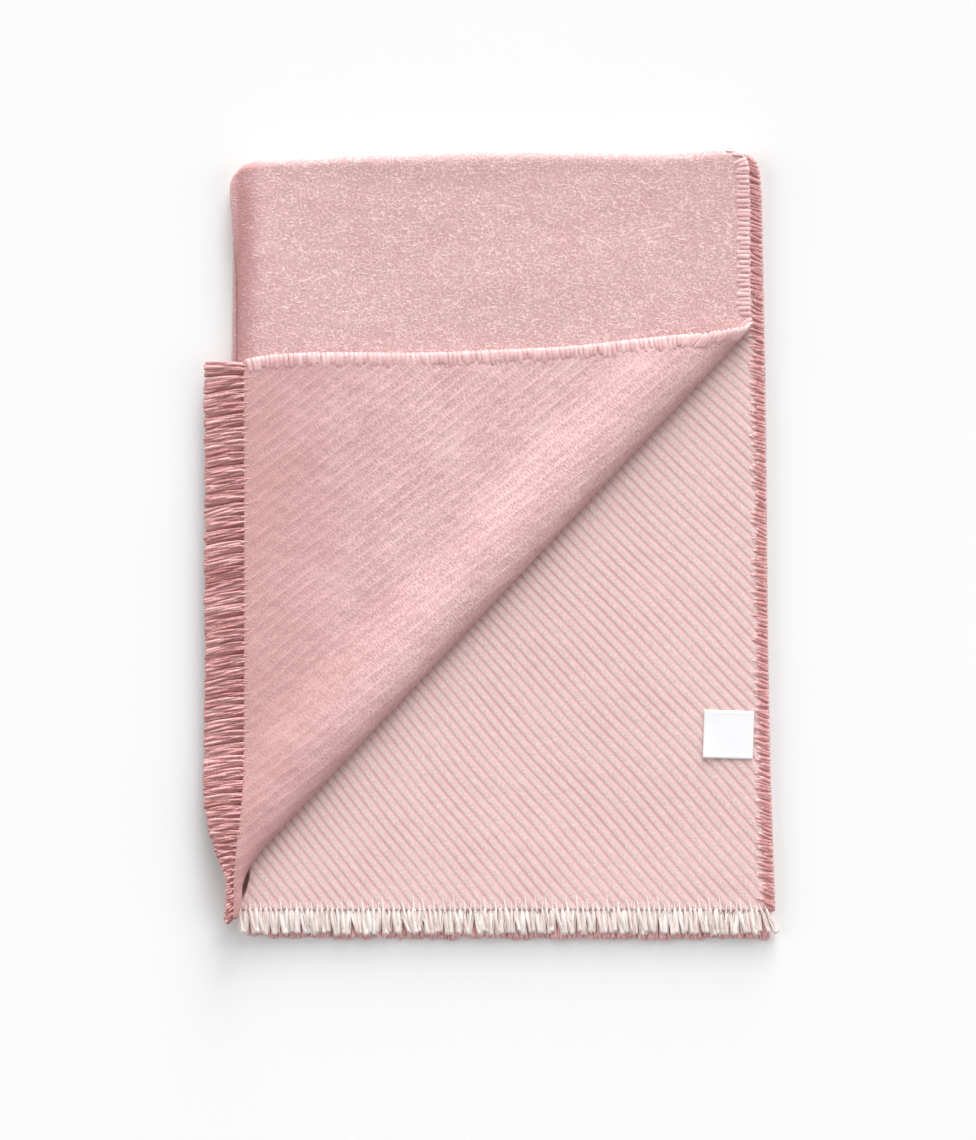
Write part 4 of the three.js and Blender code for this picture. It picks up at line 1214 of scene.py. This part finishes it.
def rib_look(name, light, shade, groove, pink, rim, painted_gap_shadow):
    """The second layer: pale ribs parted by soft rose lines, rose at the stitched edge."""
    look = Look(name)
    across, down, edge = look.attribute("thread")
    where = look.vector(look.times(across, RIB_PITCH), look.times(down, 0.6))
    jitter = look.moved(across, look.noise(4.0, 2.0, where), 0.2)
    line = look.between(look.maths("PINGPONG", jitter, 0.5), 0.2, 0.5)
    beside_line = look.maths("PINGPONG", look.maths("ADD", jitter, 0.14), 0.5)
    fine = look.noise(2.6)
    speckle = look.total((fine, 0.45), (look.noise(1.7, 2.0, where), 0.55))
    colour = look.blend(look.between(speckle, 0.36, 0.64), shade, light)
    colour = look.lay(pink, look.between(beside_line, 0.22, 0.5), 0.6, colour)
    strong = look.between(look.noise(55), 0.3, 0.7, 0.5, 0.95)
    colour = look.lay(groove, line, strong, colour)
    # Painted shadow: a dark patch on the ribs in the hollow beside the narrow end of the fold
    x, y, _ = look.parts(look.place)
    half_wide, half_long = OPENING["half_width"], OPENING["half_length"]
    lengthwise = look.maths("DIVIDE", look.maths("SUBTRACT", y, OPENING["y"]), half_long)
    beside = look.maths("SUBTRACT", x, OPENING["x"])
    beside = look.maths("DIVIDE", look.moved(beside, lengthwise, -OPENING["tilt"] * half_long), half_wide)
    away = look.maths("ADD", look.times(beside, beside), look.times(lengthwise, lengthwise))
    colour = look.blend(look.between(away, 0.2, 1.3, 0.92, 0.0), colour, painted_gap_shadow)
    at_rim = look.between(look.moved(edge, fine, 6.0), 12.0, 18.0, 1.0, 0.0)
    colour = look.blend(at_rim, colour, rim)
    return look.finish(colour, look.total((line, -0.5), (speckle, 0.5)), 0.6)


def yarn_look(name, light, dark, stops=(), kind_shift=0.0, specks=0.0):
    """Soft yarn. Each stop lays a colour over it from one share of the yarn's length to another:
    (low, high, colour, strength)."""
    look = Look(name, roughness=0.9, sheen=0.15)
    share, tint, kind = look.attribute("yarn")
    fine, lumps = look.noise(1.1, 3.0), look.noise(3.2)
    amount = look.total((lumps, 0.3), (fine, 0.45), (tint, 0.3))
    colour = look.blend(look.between(amount, 0.3, 0.85), dark, light)
    share = look.moved(share, kind, -kind_shift)
    for low, high, added, strength in stops:
        there = look.between(look.moved(share, lumps, 0.2), low, high)
        colour = look.lay(added, there, strength, colour)
    if specks:
        speck = look.between(look.noise(2.3), 0.53, 0.66, 0.0, specks)
        colour = look.blend(speck, colour, SPECK_ROSE)
    return look.finish(colour, look.total((lumps, 0.4), (fine, 0.6)), 0.6)


def label_look(name, light, dark):
    """Plain woven tape: fine crossing threads."""
    look = Look(name, roughness=0.7, sheen=0.05, specular=0.3)
    right, back, _ = look.attribute("thread")
    warp, weft = (
        look.maths("SINE", look.times(place, 2 * math.pi / pitch))
        for place, pitch in ((right, WARP_PITCH), (back, WEFT_PITCH))
    )
    weave = look.maths("MULTIPLY_ADD", look.times(warp, weft), 0.25, 0.5)
    colour = look.blend(look.total((weave, 0.5), (look.noise(3.0), 0.5)), dark, light)
    return look.finish(colour, weave, 0.12)


# Colours as they show: the brightest and darkest of each face, then what is laid over them
ROSE_LIGHT, ROSE_DARK = linear(251, 217, 216), linear(214, 169, 168)
# Painted shade of the top layer at its left side fold
ROSE_PAINTED_SHADE = linear(184, 128, 127)
DEEP_ROSE = linear(190, 122, 121)
FLAP_LIGHT, FLAP_DARK, FLAP_LINE = linear(236, 199, 198), linear(202, 159, 158), linear(246, 216, 215)
# Painted shades of the turned-back corner: towards its left, and beside its roll
FLAP_LEFT_PAINTED_SHADE, ROLL_PAINTED_SHADE = linear(198, 146, 144), linear(192, 142, 140)
RIB_LIGHT, RIB_SHADE = linear(242, 216, 212), linear(222, 190, 187)
RIB_GROOVE, RIB_PINK = linear(210, 166, 165), linear(230, 184, 183)
# The second of these is a painted shadow for the hollow beside the narrow end of the fold
RIM_ROSE, OPENING_PAINTED_SHADOW = linear(203, 144, 143), linear(84, 46, 44)
WHITE_LIGHT, WHITE_DARK = linear(255, 252, 248), linear(238, 215, 210)
YARN_ROSE_LIGHT, YARN_ROSE_DARK = linear(243, 194, 192), linear(178, 118, 116)
LOWER_ROSE_LIGHT, LOWER_ROSE_DARK = linear(255, 216, 213), linear(236, 180, 178)
STITCH_LIGHT, STITCH_DARK = linear(246, 208, 207), linear(224, 176, 175)
STITCH_PALE, SPECK_ROSE = linear(246, 220, 219), linear(170, 108, 107)
LABEL_LIGHT, LABEL_DARK = linear(246, 246, 248), linear(241, 241, 243)

cloth_looks = [
    felt_look("brushed_rose_wool", ROSE_LIGHT, ROSE_DARK, ROSE_PAINTED_SHADE),
    flap_look("rose_twill", FLAP_LIGHT, FLAP_DARK, FLAP_LINE, FLAP_LEFT_PAINTED_SHADE, ROLL_PAINTED_SHADE),
    rib_look(
        "ribbed_blush_twill", RIB_LIGHT, RIB_SHADE, RIB_GROOVE, RIB_PINK, RIM_ROSE, OPENING_PAINTED_SHADOW
    ),
    felt_look("cut_edge_wool", ROSE_DARK, DEEP_ROSE),
]
white_yarn = yarn_look("white_yarn", WHITE_LIGHT, WHITE_DARK)
rose_yarn = yarn_look("rose_yarn", YARN_ROSE_LIGHT, YARN_ROSE_DARK)
lower_yarn = yarn_look("lower_rose_yarn", LOWER_ROSE_LIGHT, LOWER_ROSE_DARK)
pale_stitch = yarn_look(
    "pale_stitch_yarn", STITCH_LIGHT, STITCH_DARK, [(0.5, 0.85, STITCH_PALE, 0.25)], 0.3, specks=0.25
)
rose_stitch = yarn_look(
    "rose_stitch_yarn", STITCH_LIGHT, STITCH_DARK,
    [(0.22, 0.5, RIM_ROSE, 0.9), (0.88, 1.12, STITCH_LIGHT, 0.8)], specks=0.7,
)
label_face = label_look("label_weave", LABEL_LIGHT, LABEL_DARK)

# The pieces
cloth = build_cloth()
outer_stitches = stitches("stitches_outer_edge", OUTER_STITCHES, 21)
inner_stitches = stitches("stitches_inner_edge", INNER_STITCHES, 31)
inner_columns, outer_columns = np.linspace(2, 3, 61), np.linspace(0, 1, 121)
second_edge, third_edge = (cloth_place(inner_columns, row, 0.0) for row in (0.0, 3.0))
flap_edge = cloth_place(outer_columns, -2.0, 0.0)
bottom_edge = cloth_place(outer_columns[::-1], 3.0, 0.0)
white_fringe = fringe("fringe_white_yarn", second_edge, WHITE_FRINGE, 1)
flap_fringe = fringe("fringe_flap_yarn", flap_edge, FLAP_FRINGE, 3)
third_fringe = fringe("fringe_third_yarn", third_edge, THIRD_FRINGE, 5)
bottom_fringe = fringe("fringe_bottom_yarn", bottom_edge, BOTTOM_FRINGE, 7)
label = build_label()

# What each piece is made of and stands for
pieces = [
    (cloth, cloth_looks, "throw", "wool_rose"),
    (outer_stitches, [pale_stitch], "throw", "yarn_rose"),
    (inner_stitches, [rose_stitch], "throw", "yarn_rose"),
    (white_fringe, [white_yarn], "fringe_second_layer", "yarn_white"),
    (flap_fringe, [rose_yarn], "fringe_flap", "yarn_rose"),
    (third_fringe, [lower_yarn], "fringe_third_layer", "yarn_rose"),
    (bottom_fringe, [lower_yarn], "fringe_bottom_layer", "yarn_rose"),
    (label, [label_face], "label", "label_white"),
]
for piece, looks, node, slot in pieces:
    for look in looks:
        piece.data.materials.append(look)
    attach(piece, "root")
    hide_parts(node)

# Plain pale floor
bpy.ops.mesh.primitive_plane_add(size=14, location=(0, 0, 0))
floor = bpy.context.object
floor.name = "floor"
floor_look = Look("floor_plain", roughness=0.8, sheen=0.0, specular=0.1)
floor_tone = floor_look.blend(floor_look.noise(400), (0.90, 0.90, 0.90), (0.91, 0.91, 0.91))
floor_look.feed(floor_tone, floor_look.shader.inputs["Base Color"])
floor.data.materials.append(floor_look.material)

# Soft studio light: an even white room and four wide lights, the strongest two from the back
ROOM_STRENGTH = 0.31
# Name, strength, then height, turn from the back and spread in degrees
LIGHTS = [
    ("key", 3.0, 21, -11.5, 46),
    ("low", 2.8, 10, -8, 22),
    ("left", 1.3, 24, 82, 46),
    ("right", 0.8, 24, -95, 46),
]
world = bpy.data.worlds.new("room")
bpy.context.scene.world = world
world.use_nodes = True
room = world.node_tree.nodes["Background"]
room.inputs["Color"].default_value = (1.0, 1.0, 1.0, 1.0)
room.inputs["Strength"].default_value = ROOM_STRENGTH
for light_name, strength, light_height, light_turn, light_spread in LIGHTS:
    light_data = bpy.data.lights.new(light_name, "SUN")
    light_data.energy = strength
    light_data.angle = math.radians(light_spread)
    light = bpy.data.objects.new(light_name, light_data)
    light.rotation_euler = (math.radians(light_height - 90), 0, math.radians(light_turn))
    bpy.context.scene.collection.objects.link(light)

# Camera straight above, framed like the picture
PICTURE_HEIGHT = 1140  # pixels
MM_PER_PIXEL = 1.2195
CAMERA_HEIGHT = 5.0
FOCUS_HEIGHT = 0.02  # about the height of the cloth, where the frame has the picture's size
SENSOR = 36.0
camera_data = bpy.data.cameras.new("camera")
camera_data.sensor_width = SENSOR
camera_data.lens = SENSOR * (CAMERA_HEIGHT - FOCUS_HEIGHT) / (PICTURE_HEIGHT * MM_PER_PIXEL * MM)
camera_data.clip_end = 20
camera = bpy.data.objects.new("camera", camera_data)
camera.location = (-0.0008, -0.0304, CAMERA_HEIGHT)
camera.rotation_euler = (0, 0, 0)
bpy.context.scene.collection.objects.link(camera)
bpy.context.scene.camera = camera
bpy.context.scene.view_settings.view_transform = "Standard"
